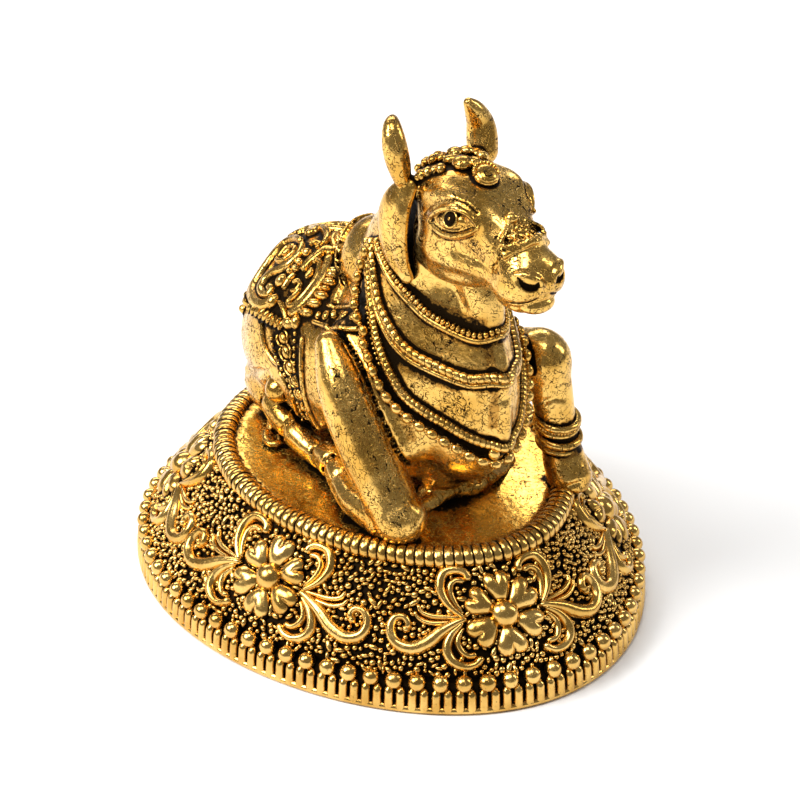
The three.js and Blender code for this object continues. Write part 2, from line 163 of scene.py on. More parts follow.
class Field:
    """A signed distance grid in mm. Shapes are joined to it, or cut from it, with a soft blend."""

    def __init__(self, lo, hi, h):
        self.lo = np.array(lo, np.float64)
        self.h = h
        self.n = (np.ceil((np.array(hi) - self.lo) / h)).astype(int) + 1
        self.D = np.full(tuple(self.n), FAR, np.float32)
        self.ax = [(self.lo[i] + h * np.arange(self.n[i])).astype(np.float32) for i in range(3)]

    def sl(self, lo, hi):
        a = np.clip(np.floor((np.asarray(lo) - self.lo) / self.h).astype(int), 0, self.n)
        b = np.clip(np.ceil((np.asarray(hi) - self.lo) / self.h).astype(int) + 1, 0, self.n)
        return tuple(slice(int(a[i]), int(b[i])) for i in range(3))

    def xyz(self, s):
        return self.ax[0][s[0]][:, None, None], self.ax[1][s[1]][None, :, None], self.ax[2][s[2]][None, None, :]

    # each shape returns (slices, distances there)
    def tube(self, stations, up=(0, 0, 1), margin=2.5, dense=None, keel=0.0, grow=0.0):
        S = np.array(stations, float)
        if S.shape[1] == 4:
            S = np.column_stack([S, S[:, 3]])
        S[:, 3:5] += grow
        if dense is None:
            L = np.linalg.norm(np.diff(S[:, :3], axis=0), axis=1).sum()
            dense = int(np.clip(L / max(0.5, 0.2 * S[:, 3:5].min()), 6, 72))
        C = catmull(S, dense + 1)
        C[:, 3:5] = np.maximum(C[:, 3:5], 0.05)
        rmax = C[:, 3:5].max(1)
        s = self.sl((C[:, :3] - rmax[:, None]).min(0) - margin, (C[:, :3] + rmax[:, None]).max(0) + margin)
        T = np.full([q.stop - q.start for q in s], FAR, np.float32)
        up = np.asarray(up, float)
        for i in range(dense):
            a, b = C[i], C[i + 1]
            ab = b[:3] - a[:3]
            L = float(np.linalg.norm(ab))
            if L < 1e-6:
                continue
            t = ab / L
            nrm = up - t * up.dot(t)
            nrm /= np.linalg.norm(nrm)
            bi = np.cross(t, nrm)
            r = max(rmax[i], rmax[i + 1]) + margin
            q = self.sl(np.minimum(a[:3], b[:3]) - r, np.maximum(a[:3], b[:3]) + r)
            loc = tuple(slice(max(q[k].start, s[k].start) - s[k].start, min(q[k].stop, s[k].stop) - s[k].start) for k in range(3))
            q = tuple(slice(loc[k].start + s[k].start, loc[k].stop + s[k].start) for k in range(3))
            X, Y, Z = self.xyz(q)
            X, Y, Z = X - np.float32(a[0]), Y - np.float32(a[1]), Z - np.float32(a[2])
            ax = X * np.float32(t[0]) + Y * np.float32(t[1]) + Z * np.float32(t[2])
            n = X * np.float32(nrm[0]) + Y * np.float32(nrm[1]) + Z * np.float32(nrm[2])
            m = X * np.float32(bi[0]) + Y * np.float32(bi[1]) + Z * np.float32(bi[2])
            w = np.clip(ax / L, 0, 1)
            over = ax - w * L
            rn = (a[3] + (b[3] - a[3]) * w).astype(np.float32)
            rb = (a[4] + (b[4] - a[4]) * w).astype(np.float32)
            if keel:
                rb = rb * (1 - keel * np.maximum(0, n) ** 2 / (n * n + m * m + 1e-6))
            rc = np.minimum(rn, rb)
            n1, m1, o1 = n / rn, m / rb, over / rc
            k0 = np.sqrt(n1 * n1 + m1 * m1 + o1 * o1) + 1e-6
            k1 = np.sqrt((n1 / rn) ** 2 + (m1 / rb) ** 2 + (o1 / rc) ** 2) + 1e-6
            np.minimum(T[loc], k0 * (k0 - 1) / k1, out=T[loc])
        return s, T

    def ball(self, c, r, rot=None, margin=2.5):
        """An ellipsoid. The rows of rot are its own axes."""
        c, r = np.asarray(c, float), np.asarray(r, float) * np.ones(3)
        s = self.sl(c - r.max() - margin, c + r.max() + margin)
        X, Y, Z = self.xyz(s)
        X, Y, Z = X - np.float32(c[0]), Y - np.float32(c[1]), Z - np.float32(c[2])
        if rot is not None:
            R = np.asarray(rot, np.float32)
            X, Y, Z = (X * R[0, 0] + Y * R[0, 1] + Z * R[0, 2], X * R[1, 0] + Y * R[1, 1] + Z * R[1, 2], X * R[2, 0] + Y * R[2, 1] + Z * R[2, 2])
        x, y, z = X / np.float32(r[0]), Y / np.float32(r[1]), Z / np.float32(r[2])
        k0 = np.sqrt(x * x + y * y + z * z) + 1e-6
        k1 = np.sqrt((x / np.float32(r[0])) ** 2 + (y / np.float32(r[1])) ** 2 + (z / np.float32(r[2])) ** 2) + 1e-6
        return s, k0 * (k0 - 1) / k1

    def add(self, shape, k=1.0):
        s, d = shape
        D = self.D[s]
        if k <= 0:
            self.D[s] = np.minimum(D, d)
            return
        h = np.maximum(k - np.abs(D - d), 0) / k
        self.D[s] = np.minimum(D, d) - h * h * (k * 0.25)

    def cut(self, shape, k=0.5):
        s, d = shape
        D, d = self.D[s], -d
        if k <= 0:
            self.D[s] = np.maximum(D, d)
            return
        h = np.maximum(k - np.abs(D - d), 0) / k
        self.D[s] = np.maximum(D, d) + h * h * (k * 0.25)

    def soften(self, r=1, times=2):
        """Evens the field out over r cells, so that joins and facets melt."""
        for _ in range(times):
            for axis in range(3):
                C = np.cumsum(np.pad(self.D, [(r + 1, r) if k == axis else (0, 0) for k in range(3)], mode="edge"), axis=axis, dtype=np.float64)
                a, b = [slice(None)] * 3, [slice(None)] * 3
                a[axis], b[axis] = slice(2 * r + 1, None), slice(0, -(2 * r + 1))
                self.D = ((C[tuple(a)] - C[tuple(b)]) / (2 * r + 1)).astype(np.float32)

    def sample(self, P):
        """Distance at points P (n,3). Outside the grid it is FAR."""
        g = (np.asarray(P) - self.lo) / self.h
        i = np.floor(g).astype(int)
        ok = np.all((i >= 0) & (i < self.n - 1), axis=1)
        i = np.clip(i, 0, self.n - 2)
        f = np.clip(g - i, 0, 1)
        out = np.zeros(len(g))
        for dx in (0, 1):
            for dy in (0, 1):
                for dz in (0, 1):
                    w = (f[:, 0] if dx else 1 - f[:, 0]) * (f[:, 1] if dy else 1 - f[:, 1]) * (f[:, 2] if dz else 1 - f[:, 2])
                    out += w * self.D[i[:, 0] + dx, i[:, 1] + dy, i[:, 2] + dz]
        return np.where(ok, out, FAR)

    def grad(self, P, e=None):
        e = e or self.h * 1.2
        G = np.stack([self.sample(P + e * np.eye(3)[k]) - self.sample(P - e * np.eye(3)[k]) for k in range(3)], 1)
        return unit(G)

    def snap(self, P, lift=0.0, steps=6):
        """Points moved onto the surface, lift mm off it, and the normals there."""
        P = np.array(P, float)
        for _ in range(steps):
            P -= self.grad(P) * np.clip(self.sample(P) - lift, -1.0, 1.0)[:, None]
        return P, self.grad(P)

    def hit(self, uv, eye=None, turn=None):
        """First points of the surface on the lines of sight through uv, in the field's own frame."""
        d = sight(uv)
        e = EYE
        if turn is not None:
            e, d = turn(e[None])[0], turn(d + HEAD_PIVOT) - HEAD_PIVOT
        t = np.full(len(d), CAM_DIST - 75.0)
        best, near = np.full(len(d), FAR), t.copy()
        for _ in range(260):
            s = self.sample(e + d * t[:, None])
            near = np.where(s < best, t, near)
            best = np.minimum(best, s)
            t = np.where(s > 0.01, t + np.clip(s * 0.8, 0.04, 1.2), t)
        # a line that misses gives the place where it passes closest
        P = e + d * np.where(best < 0.02, t, near)[:, None]
        P[best >= 0.02] = self.snap(P[best >= 0.02])[0] if (best >= 0.02).any() else P[best >= 0.02]
        return P

    def mesh(self):
        """Surface nets: points (n,3) in mm and quads (m,4) facing out."""
        D = self.D
        S = D < 0
        c = np.zeros([n - 1 for n in D.shape], np.uint8)
        for dx in (0, 1):
            for dy in (0, 1):
                for dz in (0, 1):
                    c += S[dx : S.shape[0] - 1 + dx, dy : S.shape[1] - 1 + dy, dz : S.shape[2] - 1 + dz]
        act = (c > 0) & (c < 8)
        idx = np.argwhere(act)
        ids = np.full(act.shape, -1, np.int64)
        ids[act] = np.arange(len(idx))
        corner = {}
        for k in range(8):
            j = idx + np.array([k & 1, (k >> 1) & 1, (k >> 2) & 1])
            corner[k] = D[j[:, 0], j[:, 1], j[:, 2]].astype(np.float64)
        acc = np.zeros((len(idx), 3))
        cnt = np.zeros(len(idx))
        for a in range(8):
            for bit in (1, 2, 4):
                if a & bit:
                    continue
                b = a | bit
                va, vb = corner[a], corner[b]
                m = (va < 0) != (vb < 0)
                t = va / np.where(m, va - vb, 1)
                pa = np.array([a & 1, (a >> 1) & 1, (a >> 2) & 1], float)
                pb = np.array([b & 1, (b >> 1) & 1, (b >> 2) & 1], float)
                acc += np.where(m[:, None], pa + (pb - pa) * t[:, None], 0)
                cnt += m
        V = self.lo + (idx + acc / cnt[:, None]) * self.h
        quads = []
        for axis in range(3):
            u, v = [(1, 2), (2, 0), (0, 1)][axis]
            a = [slice(None)] * 3
            b = [slice(None)] * 3
            a[axis], b[axis] = slice(0, -1), slice(1, None)
            Sa, Sb = S[tuple(a)], S[tuple(b)]
            m = Sa != Sb
            for k in (u, v):
                e = [slice(None)] * 3
                e[k] = slice(0, 1)
                m[tuple(e)] = False
                e[k] = slice(m.shape[k] - 1, None)
                m[tuple(e)] = False
            j = np.argwhere(m)
            eu, ev = np.eye(3, dtype=int)[u], np.eye(3, dtype=int)[v]
            q = np.stack([ids[tuple((j - du * eu - dv * ev).T)] for du, dv in ((1, 1), (0, 1), (0, 0), (1, 0))], 1)
            flip = Sb[tuple(j.T)]
            q[flip] = q[flip][:, ::-1]
            quads.append(q)
        return V, np.concatenate(quads)


def clean(V, Q):
    """Drops loose specks: keeps every connected piece with more than a hundredth of the points."""
    n = len(V)
    lab = np.arange(n)
    E = np.concatenate([Q[:, [0, 1]], Q[:, [1, 2]], Q[:, [2, 3]], Q[:, [3, 0]]])
    for _ in range(200):
        m = np.minimum(lab[E[:, 0]], lab[E[:, 1]])
        new = lab.copy()
        np.minimum.at(new, E[:, 0], m)
        np.minimum.at(new, E[:, 1], m)
        new = new[new]
        if (new == lab).all():
            break
        lab = new
    root, count = np.unique(lab, return_counts=True)
    keep = np.isin(lab, root[count > 0.01 * n])
    ids = np.cumsum(keep) - 1
    return V[keep], ids[Q[keep[Q[:, 0]]]]


# ------------------------------------------------------------------ mesh pieces
class Bag:
    """Gathers closed pieces into one mesh. dark is 0 on bare metal and 1 where patina and painted shade darken it, in
    hollows, joins and undersides.
    """

    def __init__(self):
        self.V, self.F, self.A, self.n = [], {3: [], 4: []}, [], 0

    def put(self, V, faces, dark=0.0):
        V = np.asarray(V, float)
        for F in faces:
            F = np.asarray(F)
            self.F[F.shape[1]].append(F + self.n)
        self.V.append(V)
        self.A.append(np.broadcast_to(np.asarray(dark, float), (len(V),)))
        self.n += len(V)

    def many(self, tV, faces, C, R, S, dark=0.0):
        """Copies of a template at centres C (m,3), with axes R (m,3,3) as rows and sizes S (m,3)."""
        C, S = np.asarray(C, float), np.broadcast_to(np.asarray(S, float), (len(C), 3))
        V = C[:, None, :] + np.einsum("vk,mk,mkj->mvj", tV, S, R)
        k = len(tV)
        off = (np.arange(len(C)) * k)[:, None, None]
        d = np.broadcast_to(np.asarray(dark, float), (len(C), k)).ravel() if np.ndim(dark) < 2 else np.asarray(dark).ravel()
        self.put(V.reshape(-1, 3), [(F[None] + off).reshape(-1, F.shape[1]) for F in faces], d)

    def dark_last(self, value):
        """Gives the piece put in last one darkness all over."""
        self.A[-1] = np.full(len(self.A[-1]), float(value))

    def arrays(self):
        V = np.concatenate(self.V)
        F = [np.concatenate(self.F[k]) for k in (3, 4) if self.F[k]]
        return V, F, np.concatenate(self.A)


def sphere_template(nu=10, nv=6):
    """Unit ball: pole along +z. Points and [triangles, quads]."""
    th = np.linspace(0, math.pi, nv + 1)[1:-1]
    ph = np.arange(nu) * 2 * math.pi / nu
    ring = np.stack([np.outer(np.sin(th), np.cos(ph)), np.outer(np.sin(th), np.sin(ph)), np.outer(np.cos(th), np.ones(nu))], -1)
    V = np.concatenate([[[0, 0, 1]], ring.reshape(-1, 3), [[0, 0, -1]]])
    i = np.arange(nu)
    j = (i + 1) % nu
    top = np.stack([np.zeros(nu, int), 1 + i, 1 + j], 1)
    last = 1 + (nv - 2) * nu
    bot = np.stack([np.full(nu, len(V) - 1), last + j, last + i], 1)
    Q = [np.stack([1 + k * nu + i, 1 + (k + 1) * nu + i, 1 + (k + 1) * nu + j, 1 + k * nu + j], 1) for k in range(nv - 2)]
    return V, [np.concatenate([top, bot]), np.concatenate(Q)]


BALL = sphere_template()
BALL_FINE = sphere_template(18, 11)


def axes(T, N):
    """Frames with rows along the line, across it and off the surface."""
    N = unit(N)
    T = unit(T - N * (T * N).sum(-1, keepdims=True))
    return np.stack([T, np.cross(N, T), N], 1)


def grid_faces(n, m, closed_n=False, closed_m=False):
    i = np.arange(n if closed_n else n - 1)[:, None]
    j = np.arange(m if closed_m else m - 1)[None, :]
    i2, j2 = (i + 1) % n, (j + 1) % m
    return np.stack([i * m + j, i2 * m + j, i2 * m + j2, i * m + j2], -1).reshape(-1, 4)


def ridge(bag, P, N, wide, high, sides=9, sink=0.25, closed=False, wrap=1.35, groove=0.0, dark=1.0):
    """A raised line on a surface: round across, tapering over its ends."""
    n = len(P)
    wide = np.broadcast_to(np.asarray(wide, float), (n,)).copy()
    high = np.broadcast_to(np.asarray(high, float), (n,)).copy()
    T = tangents(P, closed)
    R = axes(T, N)
    if not closed:
        s = np.concatenate([[0], np.cumsum(np.linalg.norm(np.diff(P, axis=0), axis=1))])
        for d in (s, s[-1] - s):
            r = np.maximum(wide, 1e-3)
            k = np.sqrt(np.clip(1 - (1 - np.clip(d / r, 0, 1)) ** 2, 0, 1))
            wide, high = wide * np.maximum(k, 0.05), high * np.maximum(k, 0.05) ** 0.7
    a = np.linspace(-wrap, wrap, sides) * math.pi / 2 / 1.0
    x, y = np.sin(np.clip(a, -math.pi / 2, math.pi / 2)), np.cos(a)
    y = np.where(np.abs(a) > math.pi / 2, -1.0, y)
    if groove:
        y = np.where(y > 0, y * (1 - groove * np.exp(-((a / 0.35) ** 2))), y)
    H = np.where(y[None, :] < 0, -sink, high[:, None] * y[None, :])
    V = P[:, None, :] + R[:, None, 1, :] * (wide[:, None] * x[None, :])[..., None] + R[:, None, 2, :] * H[..., None]
    d = np.broadcast_to(dark * smooth(0.62, 0.05, y)[None, :], (n, sides))
    F = grid_faces(n, sides, closed_n=closed, closed_m=True)
    faces = [F]
    if not closed:
        faces += [np.array([[k, (k + 1), n * sides] for k in range(sides - 1)] + [[sides - 1, 0, n * sides]])]
        last = (n - 1) * sides
        faces += [np.array([[last + k + 1, last + k, n * sides + 1] for k in range(sides - 1)] + [[last, last + sides - 1, n * sides + 1]])]
        V = np.concatenate([V.reshape(-1, 3), V[0].mean(0)[None], V[-1].mean(0)[None]])
        d = np.concatenate([d.ravel(), [1, 1]])
    bag.put(V.reshape(-1, 3), faces, np.asarray(d).ravel())


def cord(bag, P, N, r, sides=9, closed=False, twist=None, dark=0.0):
    """A round cord. twist = (pitch, depth) gives it rope ridges."""
    n = len(P)
    R = axes(tangents(P, closed), N)
    a = np.arange(sides) * 2 * math.pi / sides
    r = np.broadcast_to(np.asarray(r, float), (n,))[:, None] * np.ones(sides)[None]
    d = np.full((n, sides), float(dark))
    if twist:
        s = np.concatenate([[0], np.cumsum(np.linalg.norm(np.diff(P, axis=0), axis=1))])
        f = (s[:, None] / twist[0] + twist[2] * np.sin(a)[None] * 0.25) % 1.0
        g = np.sqrt(np.clip(1 - (2 * f - 1) ** 2, 0, 1))
        r = r * (1 - twist[1] * (1 - g))
        d = np.maximum(d, smooth(0.68, 0.2, g))
    V = P[:, None, :] + R[:, None, 1, :] * (r * np.sin(a))[..., None] + R[:, None, 2, :] * (r * np.cos(a))[..., None]
    faces = [grid_faces(n, sides, closed_n=closed, closed_m=True)]
    V = V.reshape(-1, 3)
    d = d.ravel()
    if not closed:
        k = np.arange(sides)
        faces += [np.stack([(k + 1) % sides, k, np.full(sides, n * sides)], 1)[:, ::-1]]
        last = (n - 1) * sides
        faces += [np.stack([last + k, last + (k + 1) % sides, np.full(sides, n * sides + 1)], 1)[:, ::-1]]
        V = np.concatenate([V, P[:1], P[-1:]])
        d = np.concatenate([d, [dark, dark]])
    bag.put(V, faces, d)


def beads(bag, P, N, spacing, size, lift=0.0, template=None, phase=0.5, dark=0.0):
    """Beads along a line. size is (along, across, off the surface)."""
    s = np.concatenate([[0], np.cumsum(np.linalg.norm(np.diff(P, axis=0), axis=1))])
    n = max(1, int(s[-1] / spacing))
    w = (np.arange(n) + phase) * s[-1] / n
    C = np.stack([np.interp(w, s, P[:, k]) for k in range(3)], 1)
    M = unit(np.stack([np.interp(w, s, N[:, k]) for k in range(3)], 1))
    T = tangents(P)
    T = unit(np.stack([np.interp(w, s, T[:, k]) for k in range(3)], 1))
    tV, faces = template or BALL
    R = axes(T, M)
    bag.many(tV, faces, C + M * lift, R, size, dark)


OBJECTS = []


def new_object(name, V, F, dark, replaces, offset=DATUM, sharp=False):
    """V in mm, F a list of (n,3) and (n,4) arrays."""
    me = bpy.data.meshes.new(name)
    V = (np.asarray(V, float) + offset) * MM
    me.vertices.add(len(V))
    me.vertices.foreach_set("co", V.astype(np.float32).ravel())
    loops = np.concatenate([f.ravel() for f in F]).astype(np.int32)
    sizes = np.concatenate([np.full(len(f), f.shape[1], np.int32) for f in F])
    starts = np.concatenate([[0], np.cumsum(sizes)[:-1]]).astype(np.int32)
    me.loops.add(len(loops))
    me.loops.foreach_set("vertex_index", loops)
    me.polygons.add(len(sizes))
    me.polygons.foreach_set("loop_start", starts)
    me.polygons.foreach_set("loop_total", sizes)
    me.update(calc_edges=True)
    me.validate()
    me.polygons.foreach_set("use_smooth", np.ones(len(me.polygons), bool))
    at = me.attributes.new("dark", "FLOAT", "POINT")
    at.data.foreach_set("value", np.asarray(dark, np.float32))
    ob = bpy.data.objects.new(name, me)
    bpy.context.collection.objects.link(ob)
    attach(ob, "root")
    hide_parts(replaces)
    OBJECTS.append(ob)
    say(name, "points", len(V), "triangles", int((sizes - 2).sum()))
    return ob


# ------------------------------------------------------------------ the plinth, mm from its foot
BASE_A, BASE_B, EGG = 44.9, 38.62, -0.104
FLOOR_A, FLOOR_B = 29.35, 23.07
DOME_LOW, DOME_HIGH = np.array([2.5, 5.5]), np.array([12.7, 18.3])
SLOPE = DOME_HIGH - DOME_LOW
SLOPE_L = float(np.hypot(*SLOPE))
BULGE = 0.35
MIDLINE = 7.2
RIM_INSET, RIM_Z = 14.2, 19.4


def egg(t, inset):
    a = BASE_A - np.asarray(inset, float)
    b = np.where(a < FLOOR_A, a * FLOOR_B / FLOOR_A, BASE_B - inset)
    return np.stack(np.broadcast_arrays(a * np.cos(t), b * np.sin(t) * (1 + EGG * np.cos(t))), -1)


def arc_table(inset, n=2880):
    t = np.linspace(0, 2 * math.pi, n + 1)
    s = np.concatenate([[0], np.cumsum(np.linalg.norm(np.diff(egg(t, inset), axis=0), axis=1))])
    return t, s


def equal_angles(inset, shares):
    t, s = arc_table(inset)
    return np.interp(np.mod(shares, 1.0) * s[-1], s, t)


MID_T, MID_S = arc_table(MIDLINE)
ROUND = MID_S[-1]


def outward(t, inset):
    d = unit(egg(t + 0.004, inset) - egg(t - 0.004, inset))
    return np.stack([d[..., 1], -d[..., 0], np.zeros(d.shape[:-1])], -1)


def on_dome(s, q, h=0.0):
    """Points on the dome: s along the midline, q up the slope, h off the surface; and the normals."""
    s, q, h = np.broadcast_arrays(np.asarray(s, float), np.asarray(q, float), np.asarray(h, float))
    t = np.interp(np.mod(s, ROUND), MID_S, MID_T)
    w = np.clip((MIDLINE - DOME_LOW[0]) / SLOPE[0] + q / SLOPE_L, -0.02, 1.03)
    inset = DOME_LOW[0] + SLOPE[0] * w
    e = egg(t, inset)
    out = outward(t, inset)
    N = unit(out * SLOPE[1] + np.array([0, 0, SLOPE[0]]))
    P = np.stack([e[..., 0], e[..., 1], DOME_LOW[1] + SLOPE[1] * w], -1)
    return P + N * (h + BULGE * 4 * w * (1 - w))[..., None], N


def lathe(profile, n, dark):
    """A turned body on the egg plan. profile rows are inset and height, from the middle below to the middle above."""
    prof = np.array(profile, float)
    t = equal_angles(8.0, np.arange(n) / n)
    P = np.stack([np.concatenate([egg(t, i), np.full((n, 1), z)], 1) for i, z in prof[1:-1]], 1)
    m = P.shape[1]
    V = np.concatenate([P.reshape(-1, 3), [[0, 0, prof[0][1]]], [[0, 0, prof[-1][1]]]])
    k = np.arange(n)
    k2 = (k + 1) % n
    F = grid_faces(n, m, closed_n=True)
    low = np.stack([k2 * m, k * m, np.full(n, n * m)], 1)
    high = np.stack([k * m + m - 1, k2 * m + m - 1, np.full(n, n * m + 1)], 1)
    d = np.concatenate([np.tile(np.asarray(dark, float)[1:-1], n), [dark[0]], [dark[-1]]])
    return V, [F, low, high], d


def build_base():
    prof = [(44.9, 0.0), (44.0, 0.0), (0.75, 0.0), (0.3, 0.1), (0.1, 0.32), (0.08, 0.6), (0.2, 0.85), (0.55, 1.05), (1.2, 1.3),
            (1.3, 3.6), (1.6, 4.05), (2.2, 4.25), (2.75, 4.5), (2.7, 5.2)]
    dark = [0, 0, 0, 0, 0, 0, 0.1, 0.6, 1, 1, 1, 1, 1, 1]
    for w in np.linspace(0, 1, 15):
        b = BULGE * 4 * w * (1 - w)
        prof.append((DOME_LOW[0] + SLOPE[0] * w - b * SLOPE[1] / SLOPE_L, DOME_LOW[1] + SLOPE[1] * w + b * SLOPE[0] / SLOPE_L))
        dark.append(1)
    prof += [(13.4, 18.9), (14.6, 19.1), (15.4, 19.0), (16.2, 18.9), (30, 18.9), (44.9, 18.9)]
    dark += [1, 1, 1, 1, 1, 1]
    body = Bag()
    V, F, d = lathe(prof, 240, dark)
    body.put(V, F, d)

    # ribbed hem: a tongue under and between the beads
    n = 144
    t = equal_angles(0.6, (np.arange(n) + 0.47) / n)
    out = outward(t, 0.6)
    tan = np.stack([-out[:, 1], out[:, 0], np.zeros(n)], 1)
    u = np.linspace(-1, 1, 9)
    v = np.linspace(0, 1, 10)
    pitch = arc_table(0.6)[1][-1] / n
    wide = pitch * 0.5 * np.interp(v, [0, 0.08, 0.3, 0.8, 0.93, 1], [0.98, 0.9, 0.86, 0.85, 0.78, 0.3])
    z = 0.22 + 3.8 * v
    face = np.interp(v, [0, 0.12, 0.3, 0.75, 0.93, 1], [0.22, 0.03, 0.04, 0.16, 0.5, 0.95])
    deep = np.interp(v, [0, 0.15, 0.6, 0.9, 1], [0.3, 0.6, 0.85, 0.85, 0.5])
    c = np.concatenate([egg(t, 0.0), np.zeros((n, 1))], 1)
    bow = 1 - np.sqrt(np.clip(1 - u**2, 0, 1))
    P = (c[:, None, None, :] + tan[:, None, None, :] * (wide[None, :, None] * u[None, None, :])[..., None]
         - out[:, None, None, :] * (face[:, None] + deep[:, None] * bow[None, :])[None, ..., None]
         + np.array([0, 0, 1]) * z[None, :, None, None])
    back = c[:, None, None, :] - out[:, None, None, :] * 1.9 + tan[:, None, None, :] * (wide[None, :, None] * u[None, None, [-1, 0]])[..., None] + np.array([0, 0, 1]) * z[None, :, None, None]
    G = np.concatenate([P, back], 2)
    m = G.shape[2]
    F0 = grid_faces(10, m, closed_m=True)
    cap0 = np.array([[0, k + 1, k] for k in range(1, m - 1)])[:, [0, 2, 1]]
    cap1 = np.array([[9 * m, 9 * m + k, 9 * m + k + 1] for k in range(1, m - 1)])[:, [0, 2, 1]]
    dd = np.concatenate([smooth(0.72, 1.0, np.abs(u))[None] * smooth(0.08, 0.4, v)[:, None], np.ones((10, 2))], 1)
    F0, cap0, cap1 = F0[:, ::-1], cap0[:, ::-1], cap1[:, ::-1]
    off = (np.arange(n) * 10 * m)[:, None, None]
    body.put(G.reshape(-1, 3), [(F0[None] + off).reshape(-1, 4), (cap0[None] + off).reshape(-1, 3), (cap1[None] + off).reshape(-1, 3)], np.tile(dd.ravel(), n))

    # beads above the hem
    n = 72
    t = equal_angles(1.5, (np.arange(n) + 0.47) / n)
    C = np.concatenate([egg(t, 1.5), np.full((n, 1), 4.9)], 1)
    out = outward(t, 1.5)
    R = axes(np.stack([-out[:, 1], out[:, 0], np.zeros(n)], 1), out + np.array([0, 0, 0.8]))
    size = 1.36 * (1 + 0.03 * RNG.standard_normal((n, 3)))
    C += out * 0.03 * RNG.standard_normal((n, 1))
    tV, tF = sphere_template(18, 12)
    body.many(tV, tF, C, R, size, smooth(0.1, -0.55, tV[:, 2]))

    # rope rim
    n = 124
    per = 9
    t = equal_angles(RIM_INSET, np.arange(n * per) / (n * per))
    f = (np.arange(n * per) % per) / per
    a = np.linspace(0, 2 * math.pi, 21)[:-1]
    e = egg(t, RIM_INSET)
    out = outward(t, RIM_INSET)
    slant = 0.10
    ff = (f[:, None] + slant * np.sin(a)[None]) % 1.0
    g = np.sqrt(np.clip(1 - (2 * ff - 1) ** 2, 0, 1))
    wob = np.repeat(1 + 0.03 * RNG.standard_normal(n), per)[:, None]
    r = (1.26 + 0.52 * g ** 0.5) * wob
    P = np.concatenate([e, np.full((len(t), 1), RIM_Z)], 1)[:, None, :] + out[:, None, :] * (1.12 * r * np.cos(a))[..., None] + np.array([0, 0, 1]) * (r * np.sin(a))[..., None]
    body.put(P.reshape(-1, 3), [grid_faces(len(t), 20, closed_n=True, closed_m=True)], np.maximum(smooth(0.82, 0.3, g), smooth(-0.45, -0.9, np.sin(a))[None] * np.ones_like(g)).ravel())
    V, F, d = body.arrays()
    base = new_object("base_body", V, F, d, "base", offset=0)

    # flowers and scrolls
    deco = Bag()
    cells = 0.1
    half = 19.6
    mask = np.zeros((int(2 * half / cells) + 2, int(20 / cells) + 1), bool)
    MP = -half + cells * np.arange(mask.shape[0])
    MQ = -9.0 + cells * np.arange(mask.shape[1])

    def stamp(p, q, r):
        mask[(MP[:, None] - p) ** 2 + (MQ[None, :] - q) ** 2 < r * r] = True

    outer_c = {1: [(6.3, -0.1), (8.8, 2.2), (9.9, 4.8), (8.9, 7.0), (6.6, 7.4), (5.0, 6.7), (4.8, 5.4)],
               -1: [(6.6, -0.6), (8.6, -2.4), (9.5, -4.4), (9.0, -6.3), (7.3, -7.3), (5.6, -7.0), (4.5, -5.8)]}
    inner_c = {1: [(6.4, 0.5), (7.8, 2.8), (8.15, 4.7), (7.0, 5.75), (5.3, 5.5)],
               -1: [(6.6, -1.3), (7.8, -3.2), (7.5, -4.8), (6.5, -5.7), (5.2, -5.5)]}
    strokes = []
    for side in (-1, 1):
        strokes += [
            ([(side * p, q) for p, q in [(5.9, -0.1), (7.6, -0.6), (10.0, -1.9), (12.4, -3.8), (14.8, -4.8), (17.0, -4.1), (17.9, -2.2), (17.3, -0.5), (15.9, -0.15), (15.1, -1.1), (15.5, -2.1)]],
             [0.45, 0.78, 1.05, 1.22, 1.2, 1.05, 0.9, 0.78, 0.68, 0.62, 0.72], 1.45, 0.0),
            ([(side * p, q) for p, q in [(6.8, 0.15), (9.2, 0.2), (11.4, 0.3), (13.1, 0.9), (13.7, 2.1)]], [0.3, 0.46, 0.52, 0.46, 0.34], 0.95, 0.0),
            ([(side * p, q) for p, q in [(7.4, -0.4), (9.5, -0.65), (11.8, -0.75), (13.6, -0.1), (14.3, 1.0)]], [0.26, 0.42, 0.48, 0.42, 0.32], 0.85, 0.0),
        ]
        for lift in (-1, 1):
            strokes += [
                ([(side * p, q) for p, q in outer_c[lift]], [0.42, 0.72, 0.9, 0.92, 0.84, 0.7, 0.76], 1.3, 0.0),
                ([(side * p, q) for p, q in inner_c[lift]], [0.34, 0.54, 0.62, 0.58, 0.6], 1.05, 0.0),
            ]
    lines = []
    for pts, w, high, groove in strokes:
        C = resample(catmull(np.array([(*pt, 0, ww) for pt, ww in zip(pts, w)]), 60), step=0.34)
        lines.append((C, high, groove))
        for p, q, _, ww in C:
            stamp(p, q, ww + 0.16)
    stamp(0, 0, 2.5)
    petals = []
    for i in range(6):
        a = math.pi / 2 + i * math.pi / 3
        petals.append((4.42 * math.cos(a), 4.42 * math.sin(a) + 0.05, a))
        stamp(petals[-1][0], petals[-1][1], 2.15)

